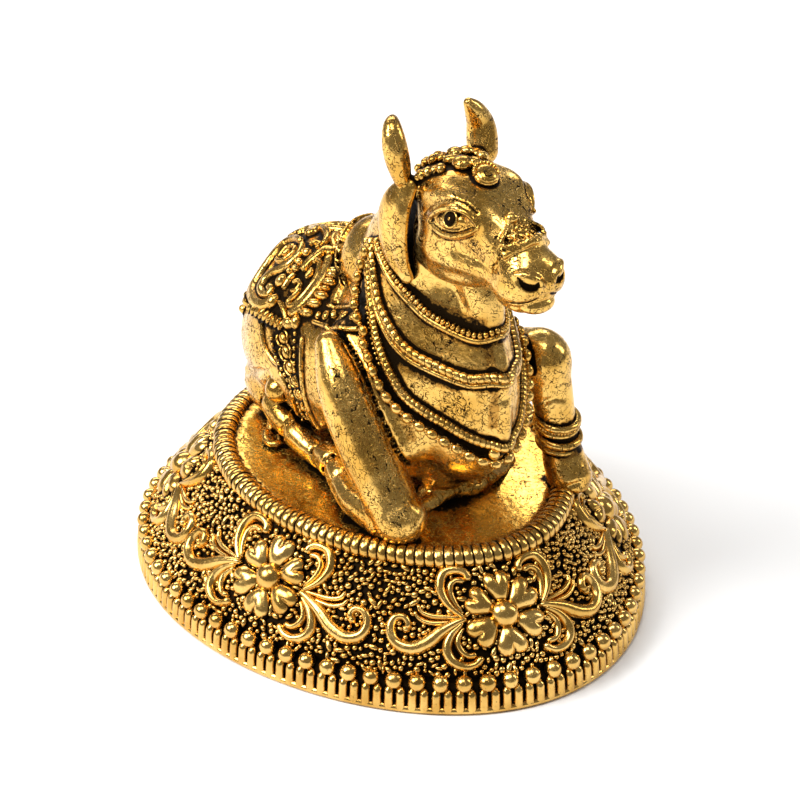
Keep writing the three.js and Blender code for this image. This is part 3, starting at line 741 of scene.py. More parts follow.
    # a heart-shaped petal, notched outwards and pointed inwards
    th = np.linspace(-math.pi, math.pi, 25)[:-1]
    edge = 1.72 - 0.42 * np.exp(-((th / 0.42) ** 2)) + 0.22 * np.exp(-(((np.abs(th) - 0.85) / 0.5) ** 2)) + 0.34 * np.exp(-(((np.abs(th) - math.pi) / 0.55) ** 2)) - 0.16 * np.exp(-(((np.abs(th) - 2.2) / 0.5) ** 2))
    rr = np.array([0.0, 0.2, 0.42, 0.62, 0.8, 0.92, 0.99, 1.02])
    X = rr[:, None] * (edge * np.cos(th))[None]
    Y = rr[:, None] * (edge * np.sin(th))[None]
    edge = edge * 1.5
    X = rr[:, None] * (edge * np.cos(th))[None]
    Y = rr[:, None] * (edge * np.sin(th))[None]
    H = 1.7 * np.clip(1 - rr**2.6, 0, 1)[:, None] ** 0.55 * (1 - 0.42 * np.exp(-((Y / 0.3) ** 2)) * smooth(-0.5, 1.2, X)) + np.where(rr > 1, -0.3, 0)[:, None]
    k = len(th)
    pv = np.stack([X, Y, H], -1)[1:].reshape(-1, 3)
    pv = np.concatenate([pv, [[0, 0, H[0, 0]]], [[0, 0, -0.3]]])
    pf = [grid_faces(7, k, closed_m=True), np.array([[i, (i + 1) % k, 7 * k] for i in range(k)]), np.array([[6 * k + (i + 1) % k, 6 * k + i, 7 * k + 1] for i in range(k)])]
    pd = np.concatenate([(smooth(0.8, 1.0, rr)[1:, None] + 0.75 * (np.exp(-((Y / 0.16) ** 2)) * smooth(0.3, 1.2, X))[1:]).clip(0, 1).ravel(), [0, 1]])
    shares = np.array([0.9716, 0.7942, 0.6240, 0.4600, 0.2980, 0.1350])
    gaps = np.abs(np.diff(np.concatenate([shares[-1:] + 1, shares, shares[:1] - 1])))
    fit = np.minimum(1, np.minimum(gaps[1:], gaps[:-1]) * ROUND / 36.9)
    Q0 = 1.25
    for s0, sx in zip(shares * ROUND, fit):
        for C, high, groove in lines:
            P, N = on_dome(s0 + C[:, 0] * sx, Q0 + C[:, 1])
            ridge(deco, P, N, C[:, 3], high * (0.8 + 0.25 * C[:, 3] / C[:, 3].max()), sides=9, groove=groove)
        for p, q, a in petals:
            a2 = a + 0.06 * RNG.standard_normal()
            ca, sa = math.cos(a2), math.sin(a2)
            k2 = 1 + 0.05 * RNG.standard_normal()
            x, y = (pv[:, 0] * ca - pv[:, 1] * sa) * k2, (pv[:, 0] * sa + pv[:, 1] * ca) * k2
            P, N = on_dome(s0 + (p + x) * sx, Q0 + q + y, pv[:, 2])
            deco.put(P, pf, pd)
        tV, tF = sphere_template(20, 12)
        P, N = on_dome(s0 + tV[:, 0] * 2.25, Q0 + tV[:, 1] * 2.25, 0.4 + tV[:, 2] * 2.0)
        deco.put(P, tF, smooth(0.25, -0.1, tV[:, 2]))
        # the bulb in the scroll's eye
        for side in (-1, 1):
            P, N = on_dome(s0 + (side * 15.5 + tV[:, 0] * 0.72) * sx, Q0 - 2.0 + tV[:, 1] * 0.72, tV[:, 2] * 1.3)
            deco.put(P, [f[:, ::1] for f in tF], smooth(0.3, -0.1, tV[:, 2]))
    V, F, d = deco.arrays()
    deco_ob = new_object("base_scrolls", V, F, d, "base", offset=0)

    # granulated ground
    want = 4600
    cand = RNG.random((want * 9, 2))
    S = cand[:, 0] * ROUND
    Qv = -7.4 + 16.1 * cand[:, 1]
    free = np.ones(len(S), bool)
    for s0, sx in zip(shares * ROUND, fit):
        rel = ((S - s0 + ROUND / 2) % ROUND - ROUND / 2) / sx
        mi = np.clip(((rel + half) / cells).astype(int), 0, mask.shape[0] - 1)
        mj = np.clip(((Qv - Q0 + 9.0) / cells).astype(int), 0, mask.shape[1] - 1)
        free &= ~(mask[mi, mj] & (np.abs(rel) < half))
    S, Qv = S[free], Qv[free]
    P, N = on_dome(S, Qv)
    size = 0.42 + 0.32 * RNG.random(len(S)) ** 1.3
    cellsz = 1.0
    bins = {}
    take = []
    for i in range(len(S)):
        x, y, z = P[i]
        key = (int(x // cellsz), int(y // cellsz), int(z // cellsz))
        ok = True
        for dx in (-1, 0, 1):
            for dy in (-1, 0, 1):
                for dz in (-1, 0, 1):
                    for j in bins.get((key[0] + dx, key[1] + dy, key[2] + dz), ()):
                        if (P[j, 0] - x) ** 2 + (P[j, 1] - y) ** 2 + (P[j, 2] - z) ** 2 < (0.74 * (size[i] + size[j])) ** 2:
                            ok = False
                            break
                    if not ok:
                        break
                if not ok:
                    break
            if not ok:
                break
        if ok:
            bins.setdefault(key, []).append(i)
            take.append(i)
            if len(take) >= want:
                break
    take = np.array(take)
    P, N, size = P[take], N[take], size[take]
    n = len(take)
    T = unit(RNG.standard_normal((n, 3)))
    long = np.where(RNG.random(n) < 0.36, 1.25 + 0.85 * RNG.random(n), 0.95 + 0.2 * RNG.random(n))
    S3 = np.stack([size * long, size * np.where(long > 1.2, 0.82, 1.0), (0.6 + 0.25 * RNG.random(n)) * np.minimum(1, size / 0.4)], 1)
    k = 7
    a = np.arange(k) * 2 * math.pi / k
    rings = [(0.5, 0.86), (0.93, 0.36), (1.02, -0.3)]
    tV = np.array([[0, 0, 1.0]] + [[r * math.cos(b), r * math.sin(b), h] for r, h in rings for b in a] + [[0, 0, -0.3]])
    tri = [[0, 1 + i, 1 + (i + 1) % k] for i in range(k)] + [[1 + 2 * k + (i + 1) % k, 1 + 2 * k + i, 1 + 3 * k] for i in range(k)]
    quad = [[1 + r * k + i, 1 + (r + 1) * k + i, 1 + (r + 1) * k + (i + 1) % k, 1 + r * k + (i + 1) % k] for r in (0, 1) for i in range(k)]
    g = Bag()
    g.many(tV, [np.array(tri), np.array(quad)], P, axes(T, N), S3, np.array([0] + [0.05] * k + [0.75] * k + [1] * k + [1]))
    V, F, d = g.arrays()
    grit = new_object("base_granules", V, F, d, "base", offset=0)

    # dished polished floor inside the rim
    t = equal_angles(RIM_INSET, np.arange(160) / 160)
    fl = Bag()
    prof = [(44.9, 18.7), (40, 18.7), (16.0, 18.7), (15.3, 19.2), (15.35, 19.85), (16.0, 20.1), (17.2, 20.05), (20, 19.93), (24, 19.85), (30, 19.8), (38, 19.8), (44.9, 19.8)]
    V, F, d = lathe(prof, 160, [1, 1, 1, 1, 0.9, 0.55, 0.2, 0.05, 0, 0, 0, 0])
    fl.put(V, F, d)
    V, F, d = fl.arrays()
    floor = new_object("base_floor", V, F, d, "base", offset=0)
    return base, deco_ob, grit, floor


build_base()


# ------------------------------------------------------------------ the bull, mm from its datum
def mir(S):
    S = np.array(S, float)
    S[:, 1] *= -1
    return S


TRUNK = [[-20.8, 0, 35.5, 12, 10], [-16, 0, 37.5, 15.1, 13.6], [-6, 0, 37.6, 14.7, 14.6], [4, 0, 38.5, 14.6, 14], [12, 0, 38.5, 12.5, 10.5]]
NECK = [[8.5, 0, 33, 12.5, 11], [11, 0, 41, 16.6, 12.4], [9.6, 0, 50, 16.4, 10.6], [8.8, 0, 58, 14.2, 8.6], [11.5, 0, 66, 9.5, 6.6], [14, 0, 72, 7.6, 6]]
THIGH = [[-22.8, -8, 35.0, 8.2, 5.6], [-17, -10.3, 37, 8.9, 5.2], [-9, -10.6, 35.2, 7.6, 4.1]]
HIND = [[-24.4, -8.6, 27.0, 4.4, 4.1], [-20.8, -10.2, 27.0, 4.3, 3.7], [-17.4, -11.2, 26.6, 3.0, 2.8]]
HIND_SHANK = [[-16.4, -12.2, 26.8, 2.4, 2.4], [-13.2, -12.6, 25.9, 2.5, 2.4], [-10.4, -12.6, 25.0, 2.0, 2.0]]
HIND_CANNON = [[-9.6, -12.7, 24.7, 2.3, 2.3], [-6, -12.5, 24.0, 2.1, 2.1], [-3, -12.2, 23.8, 2.2, 2.1]]
SHOULDER = [[3.5, -11.2, 47, 4, 3.6], [10, -11.4, 42, 4.8, 3.9], [15, -10.2, 35, 4, 3.6]]
HOOF_A = [[-1.6, -12.4, 24.7, 2.4, 2.4], [0.6, -12.7, 24.9, 2.75, 2.6]]
HOOF_B = [[3.0, -13.2, 24.7, 2.35, 2.4], [4.4, -13.6, 24.5, 2.5, 2.5]]
ARM = [[3.6, -15.2, 48.2, 2.2, 2.3], [8.4, -15.4, 42.2, 4.2, 4.2], [13.6, -14.8, 34.2, 4.4, 4.35], [17.5, -14, 28, 4.1, 4.0], [19.6, -13.7, 25.3, 3.9, 3.9]]
FORE_CANNON = [[17.5, -15.2, 24.3, 2.9, 2.9], [11, -15.7, 24.3, 2.3, 2.4], [6.2, -14.5, 24.4, 2.25, 2.3]]
LEFT_UPPER = [[3, 12, 32, 5, 4.2], [9, 14.8, 38.5, 4.6, 3.9], [15, 15.8, 42.3, 3.7, 3.7]]
LEFT_SHANK = [[16, 15.9, 41.8, 3.9, 3.9], [17.8, 16.2, 36.5, 3.3, 3.4], [19.3, 16.6, 30, 2.9, 3], [20.4, 17, 25, 3.2, 3.3]]
LEFT_HOOF = [[20.4, 17, 25.4, 3.1, 3.2], [21.6, 17.2, 22.6, 3.7, 3.6]]
TAIL = [[-28.2, -1, 45.5, 1.7, 1.7], [-30.4, -1.4, 38, 1.4, 1.4], [-30, -2.8, 30, 1.3, 1.3], [-27, -5.4, 23.8, 1.4, 1.4], [-22.5, -8.6, 22.3, 1.1, 1.1], [-17.6, -12.6, 21.9, 0.8, 0.8]]
TAIL_CURL = [[-16.6, -14.0, 22.0, 0.75, 0.8], [-14.6, -15.3, 22.0, 0.75, 0.8], [-13.0, -15.1, 22.0, 0.7, 0.75], [-12.8, -13.8, 22.1, 0.65, 0.7], [-13.9, -13.4, 22.4, 0.6, 0.6]]
HUMP = np.array([-4.2, 0, 54.0]), np.array([7.65, 6.75, 7.85])
CLOTH = [(-36, 43.5), (-36, 60), (-9.5, 60), (-8.2, 54.5), (-4.6, 50.5), (-1.2, 47.6), (1.6, 40), (1.6, 33.4), (-2.6, 29.2), (-9.5, 37), (-15, 43), (-24, 42.4)]


def polygon_distance(X, Z, poly):
    """Signed distance to a polygon in the X-Z plane, negative inside."""
    P = np.array(poly, float)
    d = np.full(np.broadcast(X, Z).shape, 1e9)
    inside = np.zeros(d.shape, bool)
    for (x0, z0), (x1, z1) in zip(P, np.roll(P, -1, 0)):
        ex, ez = x1 - x0, z1 - z0
        t = np.clip(((X - x0) * ex + (Z - z0) * ez) / (ex * ex + ez * ez), 0, 1)
        d = np.minimum(d, (X - x0 - t * ex) ** 2 + (Z - z0 - t * ez) ** 2)
        if z0 != z1:
            inside ^= ((Z < z0) != (Z < z1)) & (X < x0 + (Z - z0) / (z1 - z0) * ex)
    return np.where(inside, -np.sqrt(d), np.sqrt(d))


LEDGE = []


def build_body():
    f = Field((-35, -23, 20), (31, 24, 80), 0.4)
    f.add(f.tube(TRUNK), 0)
    f.add(f.tube(NECK, up=(1, 0, 0), keel=0.35), 2.5)
    f.add(f.ball((18.6, 0, 34.2), (5.4, 6.2, 6.2)), 2.0)
    f.add(f.tube(SHOULDER, up=(0, 1, 0)), 2.2)
    f.add(f.tube([[3.5, 11.2, 47, 4, 3.6], [8.5, 11.2, 42, 4.4, 3.7], [11, 9.4, 37, 3.6, 3.2]], up=(0, 1, 0)), 2.2)
    for m in (np.array, mir):
        f.add(f.tube(m(THIGH)), 1.6)
        f.add(f.tube(m(HIND)), 1.0)
    f.soften(2, 2)
    f.cut(f.ball((-4.2, 0, 54.0), (7.5, 6.5, 7.7)), 0.3)
    f.add(f.ball((-4.2, 0, 54.0), (7.4, 6.4, 7.6)), 0.4)
    # saddle cloth
    base = f.D.copy()
    X, Z = np.meshgrid(f.ax[0], f.ax[2], indexing="ij")
    rim = polygon_distance(X, Z, CLOTH).astype(np.float32)[:, None, :]
    cloth = np.maximum(base - 0.75, rim)
    hump = f.ball(HUMP[0], HUMP[1])
    cloth[hump[0]] = np.maximum(cloth[hump[0]], -hump[1])
    f.D = np.minimum(f.D, cloth)
    # breast strap
    strap = np.maximum(base - 0.55, polygon_distance(X, Z, [(-3, 49.4), (-3, 53.4), (7, 54.6), (7, 50.6)]).astype(np.float32)[:, None, :])
    f.D = np.minimum(f.D, strap)
    # folds of the throat and dewlap
    f.add(f.tube([[20.5, 0, 64, 3.2, 3.6], [22.0, 0, 60.5, 2.8, 3.2], [23.4, 0, 57.4, 2.0, 2.3]]), 1.6)
    f.add(f.tube([[24.4, 0, 54, 1.3, 1.2], [26.3, 0, 50, 1.4, 1.3], [26.9, 0, 46.8, 1.0, 1.0]]), 1.0)
    f.add(f.tube([[26.9, 0, 44, 1.3, 1.1], [27.3, 0, 40, 1.3, 1.1], [26.6, 0, 36, 1.0, 1.0]]), 1.0)
    f.add(f.tube([[22, 0, 34, 2.0, 2.2], [20.6, 0, 31, 2.2, 2.6], [17, 0, 28, 2.4, 3.4], [13, 0, 25, 2.6, 4.4]]), 1.2)
    for m, k in ((np.array, 1), (mir, -1)):
        # the folded leg, each piece set in a narrow moat
        for part in (HIND_SHANK, HIND_CANNON):
            f.cut(f.tube(m(part), grow=0.22), 0.5)
            f.add(f.tube(m(part)), 0.35)
        hock = m(seen(279, 389.5, -13.0)[None])[0]
        hock = hock + BACK * [1, k, 1] * 1.5
        f.cut(f.ball(hock, 2.45), 0.5)
        f.add(f.ball(hock, 2.2), 0.3)
        f.cut(f.tube(m(HOOF_A), grow=0.3), 0.3)
        f.add(f.tube(m(HOOF_A)), 0.2)
    f.cut(f.tube(ARM, up=(0, 1, 0), grow=0.5), 0.5)
    f.add(f.tube(ARM, up=(0, 1, 0)), 0.12)
    f.add(f.ball((19.9, -13.6, 25.3), (4.15, 4.1, 4.0)), 0.4)
    f.cut(f.tube(FORE_CANNON, grow=0.25), 0.3)
    f.add(f.tube(ARM[2:], up=(0, 1, 0)), 0.1)
    f.add(f.ball((19.9, -13.6, 25.3), (4.15, 4.1, 4.0)), 0.4)
    f.add(f.tube(FORE_CANNON), 0.12)
    f.cut(f.tube(HOOF_B, grow=0.35), 0.2)
    f.add(f.tube(HOOF_B), 0.1)
    f.add(f.tube(LEFT_UPPER), 1.5)
    f.add(f.tube(LEFT_SHANK, up=(1, 0, 0)), 0.8)
    f.add(f.ball((16.6, 15.9, 41.3), (4.0, 3.9, 4.2)), 1.0)
    f.add(f.tube(LEFT_HOOF, up=(1, 0, 0)), 0.3)
    f.cut(f.tube([[23.5, 13.2, 22, 0.4], [25.3, 16.9, 23.2, 0.4], [25.6, 17.2, 20.5, 0.4]]), 0.3)
    f.add(f.tube(TAIL), 0.3)
    f.add(f.tube(TAIL_CURL), 0.2)
    # creases read off the surface: between rump and folded leg, and across the hooves
    for uv, r in (([(240, 374), (250, 371.5), (261, 372), (268, 374)], [0.45, 0.6, 0.6, 0.4]), ([(545, 402), (556, 398), (566, 400)], [0.25, 0.3, 0.25])):
        P, N = f.snap(f.hit(uv), 0.05)
        for m in (np.array, mir):
            f.cut(f.tube(m(np.column_stack([P, r]))), 0.5)
    # a thin flange where the casting meets the floor
    edge = [on_level(u, v, 22.0) for u, v in ((422, 505), (434, 498), (447, 492), (462, 490), (477, 487), (487, 478), (497, 466), (508, 455))]
    LEDGE.extend(edge)
    f.add(f.tube([[*p, 0.95 + 0.25 * math.sin(2.3 * i), 1.1] for i, p in enumerate(edge)]), 0.4)
    for p in edge:
        f.add(f.tube([[13.5, 0.5 * p[1], 22.4, 1.3, 2.6], [(13.5 + p[0]) / 2, 0.75 * p[1], 21.5, 0.6, 2.2], [p[0], p[1], 21.3, 0.5, 1.6]]), 0.6)
    f.D = np.maximum(f.D, (20.9 - f.ax[2])[None, None, :])
    return f


# ------------------------------------------------------------------ the head, in its own frame
HEAD_TURN = math.radians(1.5)
HEAD_PIVOT = np.array([12.0, 0, 0])


def turned(P, angle):
    c, s = math.cos(angle), math.sin(angle)
    Q = np.array(P, float) - HEAD_PIVOT
    return np.stack([Q[:, 0] * c - Q[:, 1] * s, Q[:, 0] * s + Q[:, 1] * c, Q[:, 2]], 1) + HEAD_PIVOT


def turn_head(P):
    """From the head's own frame to the bull's."""
    return turned(P, -HEAD_TURN)


def unturn_head(P):
    return turned(P, HEAD_TURN)


def head_point(u, v, y):
    return unturn_head(seen(u, v, y)[None])[0]


def build_head():
    f = Field((3, -14, 57), (41, 14, 89), 0.2)
    f.add(f.tube([[12.8, 0, 72.8, 6.0, 5.4], [17, 0, 73.4, 6.6, 6.3], [21.5, 0, 73.2, 6.4, 6.0], [26, 0, 72.4, 5.2, 4.8], [30, 0, 71.3, 4.2, 4.2], [33.4, 0, 70.0, 3.7, 3.9]]), 0)
    for s in (-1, 1):
        f.add(f.tube([[14, s * 2.9, 75.2, 3.4, 3.0], [19, s * 3.2, 76.0, 3.5, 3.1], [24, s * 2.7, 75.3, 3.1, 2.6], [28, s * 1.7, 73.4, 2.4, 2.2]]), 1.5)
        f.add(f.ball((17.6, s * 3.7, 68.8), (5.4, 3.0, 5.0)), 2.0)
        f.add(f.tube([[14, s * 3.9, 65.4, 2.9, 2.5], [18.5, s * 3.5, 64.9, 2.8, 2.5], [23.7, s * 2.8, 65.8, 2.4, 2.2], [28.3, s * 2.2, 67.4, 2.1, 2.1], [31.5, s * 1.8, 66.8, 2.1, 2.1]]), 1.6)
        f.add(f.tube([[14.5, s * 4.9, 68.0, 1.2], [17.5, s * 5.3, 67.7, 1.5], [21.7, s * 4.8, 67.9, 1.5], [25.5, s * 4.0, 68.3, 1.3], [29.0, s * 3.4, 68.6, 0.9]]), 1.4)
        f.add(f.tube([[16.2, s * 5.3, 75.6, 1.1], [19.6, s * 5.3, 77.4, 1.3], [23.8, s * 4.8, 77.6, 1.2], [27.0, s * 3.8, 76.0, 0.8]]), 1.0)
    f.add(f.tube([[24, 0, 77.2, 1.0, 2.0], [29, 0, 74.6, 1.0, 1.8], [33, 0, 72.6, 1.0, 1.7]]), 1.5)
    # muzzle and lower lip
    f.add(f.ball((33.6, 0, 68.9), (4.3, 4.4, 3.6)), 1.6)
    for s in (-1, 1):
        f.add(f.ball((34.6, s * 2.3, 69.1), (2.7, 2.1, 2.5)), 1.8)
        f.add(f.ball((32.6, s * 2.8, 67.5), (3.4, 2.1, 2.0)), 1.6)
    f.soften(2, 2)
    lip = Field(f.lo, f.lo + f.h * (f.n - 1), f.h)
    lip.add(lip.tube([[27.5, 0, 65.9, 1.7, 2.8], [31, 0, 65.2, 1.9, 3.6], [33.8, 0, 65.2, 1.7, 3.5]]), 0)
    lip.add(lip.ball((35.2, 0, 65.6), (2.5, 2.9, 1.6)), 0.6)
    f.add((tuple(slice(0, k) for k in f.n), lip.D), 0.25)
    for s in (-1, 1):
        m = np.array if s < 0 else mir
        # eye: socket, ball, lids
        e1 = unit(np.array([9.0, -s * -2.2 * -1, 2.2]) if s < 0 else np.array([9.0, -2.2, 2.2]))
        e1 = unit(np.array([9.0, 2.2 * -s, 2.2]))
        n = unit(np.array([0.18, s, 0.12]))
        n = unit(n - e1 * n.dot(e1))
        e3 = np.cross(e1, n)
        c = np.array([22.3, s * 5.0, 74.6])
        f.add(f.ball(c, (5.0, 2.0, 2.9), rot=[e1, n, e3]), 0.8)
        f.cut(f.ball(c + n * 1.9, (4.0, 1.1, 1.75), rot=[e1, n, e3]), 0.25)
        f.add(f.ball(c + n * 0.2, (3.6, 1.75, 1.75), rot=[e1, n, e3]), 0.1)
    return f


CUT_PATINA_AND_SHADE, ETCHED_HEAD, ETCHED_BODY = [], [], []


def detail_head(f):
    """Carving whose place is read off the surface: mouth, nostrils, lids and bands."""
    def both(uv, r, op="add", k=0.3, lift=0.0, n=None):
        P, N = f.snap(f.hit(uv, turn=unturn_head), lift)
        S = np.column_stack([P, r if np.ndim(r) else np.full(len(P), r)])
        for m in (np.array, mir):
            shape = f.tube(m(S), dense=n, up=(0.1, 0.2, 1))
            f.cut(shape, k) if op == "cut" else f.add(shape, k)
            # a cut's path is kept so that its groove is darkened: patina in the cut and painted shade in the groove
            if op == "cut":
                C = m(catmull(S, 40))
                CUT_PATINA_AND_SHADE.append((C[:, :3], C[:, 3]))
        return P, N

    both([(503.5, 302), (515, 304.5), (529, 303), (542, 297.5), (551, 295)], [0.15, 0.3, 0.34, 0.34, 0.3], "cut", 0.3)
    both([(516, 276), (523, 275.5), (531, 278.5), (537, 280.5), (542, 285)], [0.3, 0.55, 0.65, 0.55, 0.3], "add", 0.8, 0.1)
    both([(517.5, 278.5), (522, 284.5), (529, 288.5), (536.5, 288), (538.5, 284)], [0.16, 0.34, 0.5, 0.42, 0.2], "cut", 0.3, -0.1)
    # lids, and cut lines round the eye whose darkening paints the lids' shadow
    both([(428.6, 220.5), (434, 213.5), (443, 208.5), (452, 207.5), (462, 210.5), (471, 217.5), (478, 227.5)], [0.2, 0.36, 0.48, 0.52, 0.48, 0.38, 0.2], "add", 0.3, 0.2)
    both([(428.6, 220.5), (435, 228.5), (444, 233.5), (454, 235.5), (465, 234), (478, 228.5)], [0.2, 0.3, 0.38, 0.4, 0.34, 0.2], "add", 0.3, 0.12)
    both([(431.5, 221.5), (437, 216.5), (445, 212.8), (453, 211.8), (461, 214.3), (468, 219), (474, 226)], 0.2, "cut", 0.15, 0.05)
    both([(433, 223.5), (440, 229.3), (449, 231.8), (458, 231.8), (467, 229.6), (474, 227)], 0.17, "cut", 0.15, 0.05)
    both([(424, 214), (432, 205), (443, 200.5), (456, 200), (467, 204), (477, 213)], 0.18, "cut", 0.2, 0.0)
    both([(432, 231), (441, 238), (452, 241), (464, 240), (474, 236)], 0.15, "cut", 0.2, 0.0)
    # noseband and the pointed plate above it
    both([(547, 242), (535, 242.5), (521, 244), (509, 248), (500, 254.5), (494, 264), (493, 272)], [0.55, 0.55, 0.55, 0.55, 0.55, 0.5, 0.3], "add", 0.25, 0.25)
    both([(545, 233), (535, 227.5), (524, 222.5), (514, 219)], 0.3, "add", 0.2, 0.15)
    both([(511, 221), (506, 231), (502, 241), (496, 252)], 0.3, "add", 0.2, 0.15)
    for a, b in (((517, 226), (541, 237)), ((512, 232), (529, 240)), ((508, 239), (517, 243))):
        both([a, ((a[0] + b[0]) / 2, (a[1] + b[1]) / 2 - 1), b], 0.22, "add", 0.15, 0.1)
    f.add(f.ball(f.snap(f.hit([(511.5, 218.5)], turn=unturn_head), 0.1)[0][0], (1.0, 1.0, 0.9)), 0.2)
    # jaw crease
    both([(413, 268), (425, 279), (438, 286.5), (455, 290.5), (472, 290), (487, 292)], [0.3, 0.45, 0.5, 0.5, 0.45, 0.3], "cut", 0.6, 0.0)


def build_ears_horns(f):
    for s in (-1, 1):
        m = np.array if s < 0 else mir
        ear = [[12.2, -6.2, 76.2, 1.7, 1.3], [10.9, -7.8, 72.8, 3.1, 1.5], [10.9, -8.5, 68.8, 3.35, 1.5], [11.9, -8.5, 65.0, 2.7, 1.35], [13.7, -7.8, 61.9, 1.1, 0.9]]
        f.cut(f.tube(m(ear[1:]), up=(1, 0, 0), grow=0.12), 0.3)
        f.add(f.tube(m(ear), up=(1, 0, 0)), 0.2)
        f.cut(f.tube(m([[12.2, -9.9, 74.2, 0.7], [12.1, -11.3, 70, 1.5], [12.6, -10.9, 66, 1.1], [13.6, -9.4, 62.8, 0.4]]), up=(1, 0, 0)), 0.9)
    right = [(402, 177.5, -7.2, 1.38), (398.3, 163, -7.6, 1.8), (394.6, 146, -7.9, 1.86), (392.4, 130, -7.6, 1.5), (392.3, 121, -6.6, 0.98), (393.8, 117.5, -5.6, 0.33)]
    left = [(482.5, 150, 7.4, 2.35), (482, 136, 7.9, 2.35), (480, 122, 7.9, 2.05), (474.5, 110, 6.8, 1.5), (468.7, 102.8, 5.75, 0.82)]
    for horn in (right, left):
        S = np.array([[*head_point(u, v, y), r] for u, v, y, r in horn])
        f.add(f.tube(S, up=(1, 0, 0), dense=18), 0.15)


say("sculpting")
body = build_body()
head = build_head()
detail_head(head)
build_ears_horns(head)
ARM_LINE = catmull(body.hit([(338, 372), (352, 404), (374, 442), (392, 480), (401, 516)]), 24)
ETCHED_BODY += [(p, 1.9) for p in ARM_LINE] + [(p, 2.6) for p in body.hit([(400, 300), (425, 372), (455, 405), (440, 345)])]
ETCHED_HEAD += [(p, r) for p, r in zip(head.hit([(505, 188), (518, 205), (530, 226), (440, 184), (462, 190), (506, 262), (500, 240), (477, 250)], turn=unturn_head), (3.0, 3.0, 2.4, 2.4, 2.2, 2.2, 2.0, 1.8))]
# dark patches at listed places under the jaw, low on the chest and beside the necklaces: patina and painted shade
PATCHES = [(catmull(body.hit(uv), 30), r, k) for uv, r, k in (
    ([(398, 284), (412, 293), (428, 304), (446, 313), (464, 320), (480, 324)], 1.3, 0.55),
    ([(430, 458), (442, 468), (456, 475), (470, 477)], 1.5, 0.45),
    ([(396, 398), (404, 420), (412, 438)], 0.9, 0.38),
    ([(382, 330), (400, 362), (425, 376), (455, 388)], 0.9, 0.4),
    ([(488, 350), (492, 372), (494, 400), (493, 425)], 0.9, 0.42))]
LEDGE = resample(catmull(np.array(LEDGE), 60), step=0.6)
say("fields ready")

def traced(field, uv, lift=0.0, step=0.35, turn=None):
    """A line on a field, drawn through points of the 800 pixel frame, evenly spaced; and its normals."""
    P = field.hit(uv, turn=turn)
    P = resample(catmull(P, 12 * len(P)), step=step)
    P, N = field.snap(P, lift)
    return P, N


def to_midline(P, N):
    """Cuts a line where it passes the middle plane and adds its mirror image."""
    over = np.argmax(P[:, 1] > -0.6) if (P[:, 1] > -0.6).any() else len(P)
    over = min(over, int(P[:, 2].argmin()) + 1)
    P, N = P[:over], N[:over]
    M, K = P[::-1] * [1, -1, 1], N[::-1] * [1, -1, 1]
    Q = resample(np.concatenate([P, M]), step=0.3)
    return Q


def garlands():
    g = Bag()
    rows = {
        "collar": [(377, 240), (382.5, 256), (393.4, 278), (404, 291), (415, 303), (426, 314), (439, 322), (453, 329), (467, 335.4), (480, 338.7), (490, 336.5), (495, 333)],
        "second": [(372, 240), (372.8, 261.7), (375, 283), (379, 305), (387, 324.6), (396.6, 341), (410.7, 355), (426, 363.6), (442, 371), (458.5, 377.7), (474.7, 382), (485.6, 378.8), (492, 370)],
        "third": [(368, 240), (369, 262), (371.5, 300), (377, 337.6), (381.5, 354), (393.4, 381), (405, 398), (423.6, 412), (444, 423.6), (460, 432.8), (477.6, 440.8), (490, 444), (500.6, 440)],
        "pearls": [(373.9, 246.5), (366, 272.5), (363, 294), (364, 318), (366, 335), (373, 364), (383.4, 390), (397, 405), (407.6, 413), (422.5, 422.5), (435, 430), (447.7, 437.4), (460, 444), (474, 452), (488, 455.8), (500, 449)],
        "thin": [(371.5, 258), (369.5, 290), (370.5, 325), (375.5, 350), (381, 366)],
    }

    def laid(name, lift, step=0.3):
        P, N = traced(body, rows[name], 0.0)
        Q = to_midline(P, N)
        for _ in range(2):
            Q, M = body.snap(Q, lift)
            Q = resample(Q, step=step)
        k = np.ones(5) / 5
        for _ in range(3):
            Q[2:-2] = np.stack([np.convolve(Q[:, i], k, "valid") for i in range(3)], 1)
        return Q, body.grad(Q)

    def sides(P, N):
        off = np.cross(N, tangents(P))
        return -off if off[len(off) // 3, 2] < 0 else off

    P, N = laid("collar", 0.15)
    off = sides(P, N)
    beads(g, P + off * 0.45, N, 0.84, (0.43, 0.56, 0.58), 0.12)
    # a dark cord under the beads shows in the gaps between them: painted shade, with patina in the joins
    cord(g, P + off * 0.45, N, 0.36, 8, dark=1)
    cord(g, P - off * 0.5, N, 0.5, 10)
    P, N = laid("second", 0.25, 0.12)
    off = sides(P, N)
    cord(g, P + off * 0.45, N, 0.8, 12, twist=(1.15, 0.15, 0.7))
    cord(g, P - off * 0.7, N, 0.42, 8)
    P, N = laid("third", 0.25, 0.12)
    off = sides(P, N)
    cord(g, P + off * 0.3, N, 0.8, 12, twist=(0.85, 0.16, 0.7))
    P, N = traced(body, rows["thin"], 0.1)
    for kk in (np.array([1, 1, 1]), np.array([1, -1, 1])):
        beads(g, P * kk, N * kk, 0.8, (0.36, 0.34, 0.36), 0.1)
    P, N = laid("pearls", 0.8)
    beads(g, P, N, 2.15, (1.04, 0.8, 0.86), 0.35, template=sphere_template(12, 8))
    beads(g, P, N, 2.15, (0.42, 0.42, 0.42), 0.15, phase=0.0)
    # a dark cord under the pearls shows in the gaps between them: painted shade, with patina in the joins
    cord(g, P - N * 0.1, N, 0.24, 6, dark=1)
    # the drop at the bottom of the pearls
    p, n = body.snap(body.hit([(495, 452), (497, 456)]), 0.35)
    g.many(*sphere_template(12, 8), p[:1], axes(unit(p[1:] - p[:1]), n[:1]), (1.15, 0.95, 0.8))
    return g


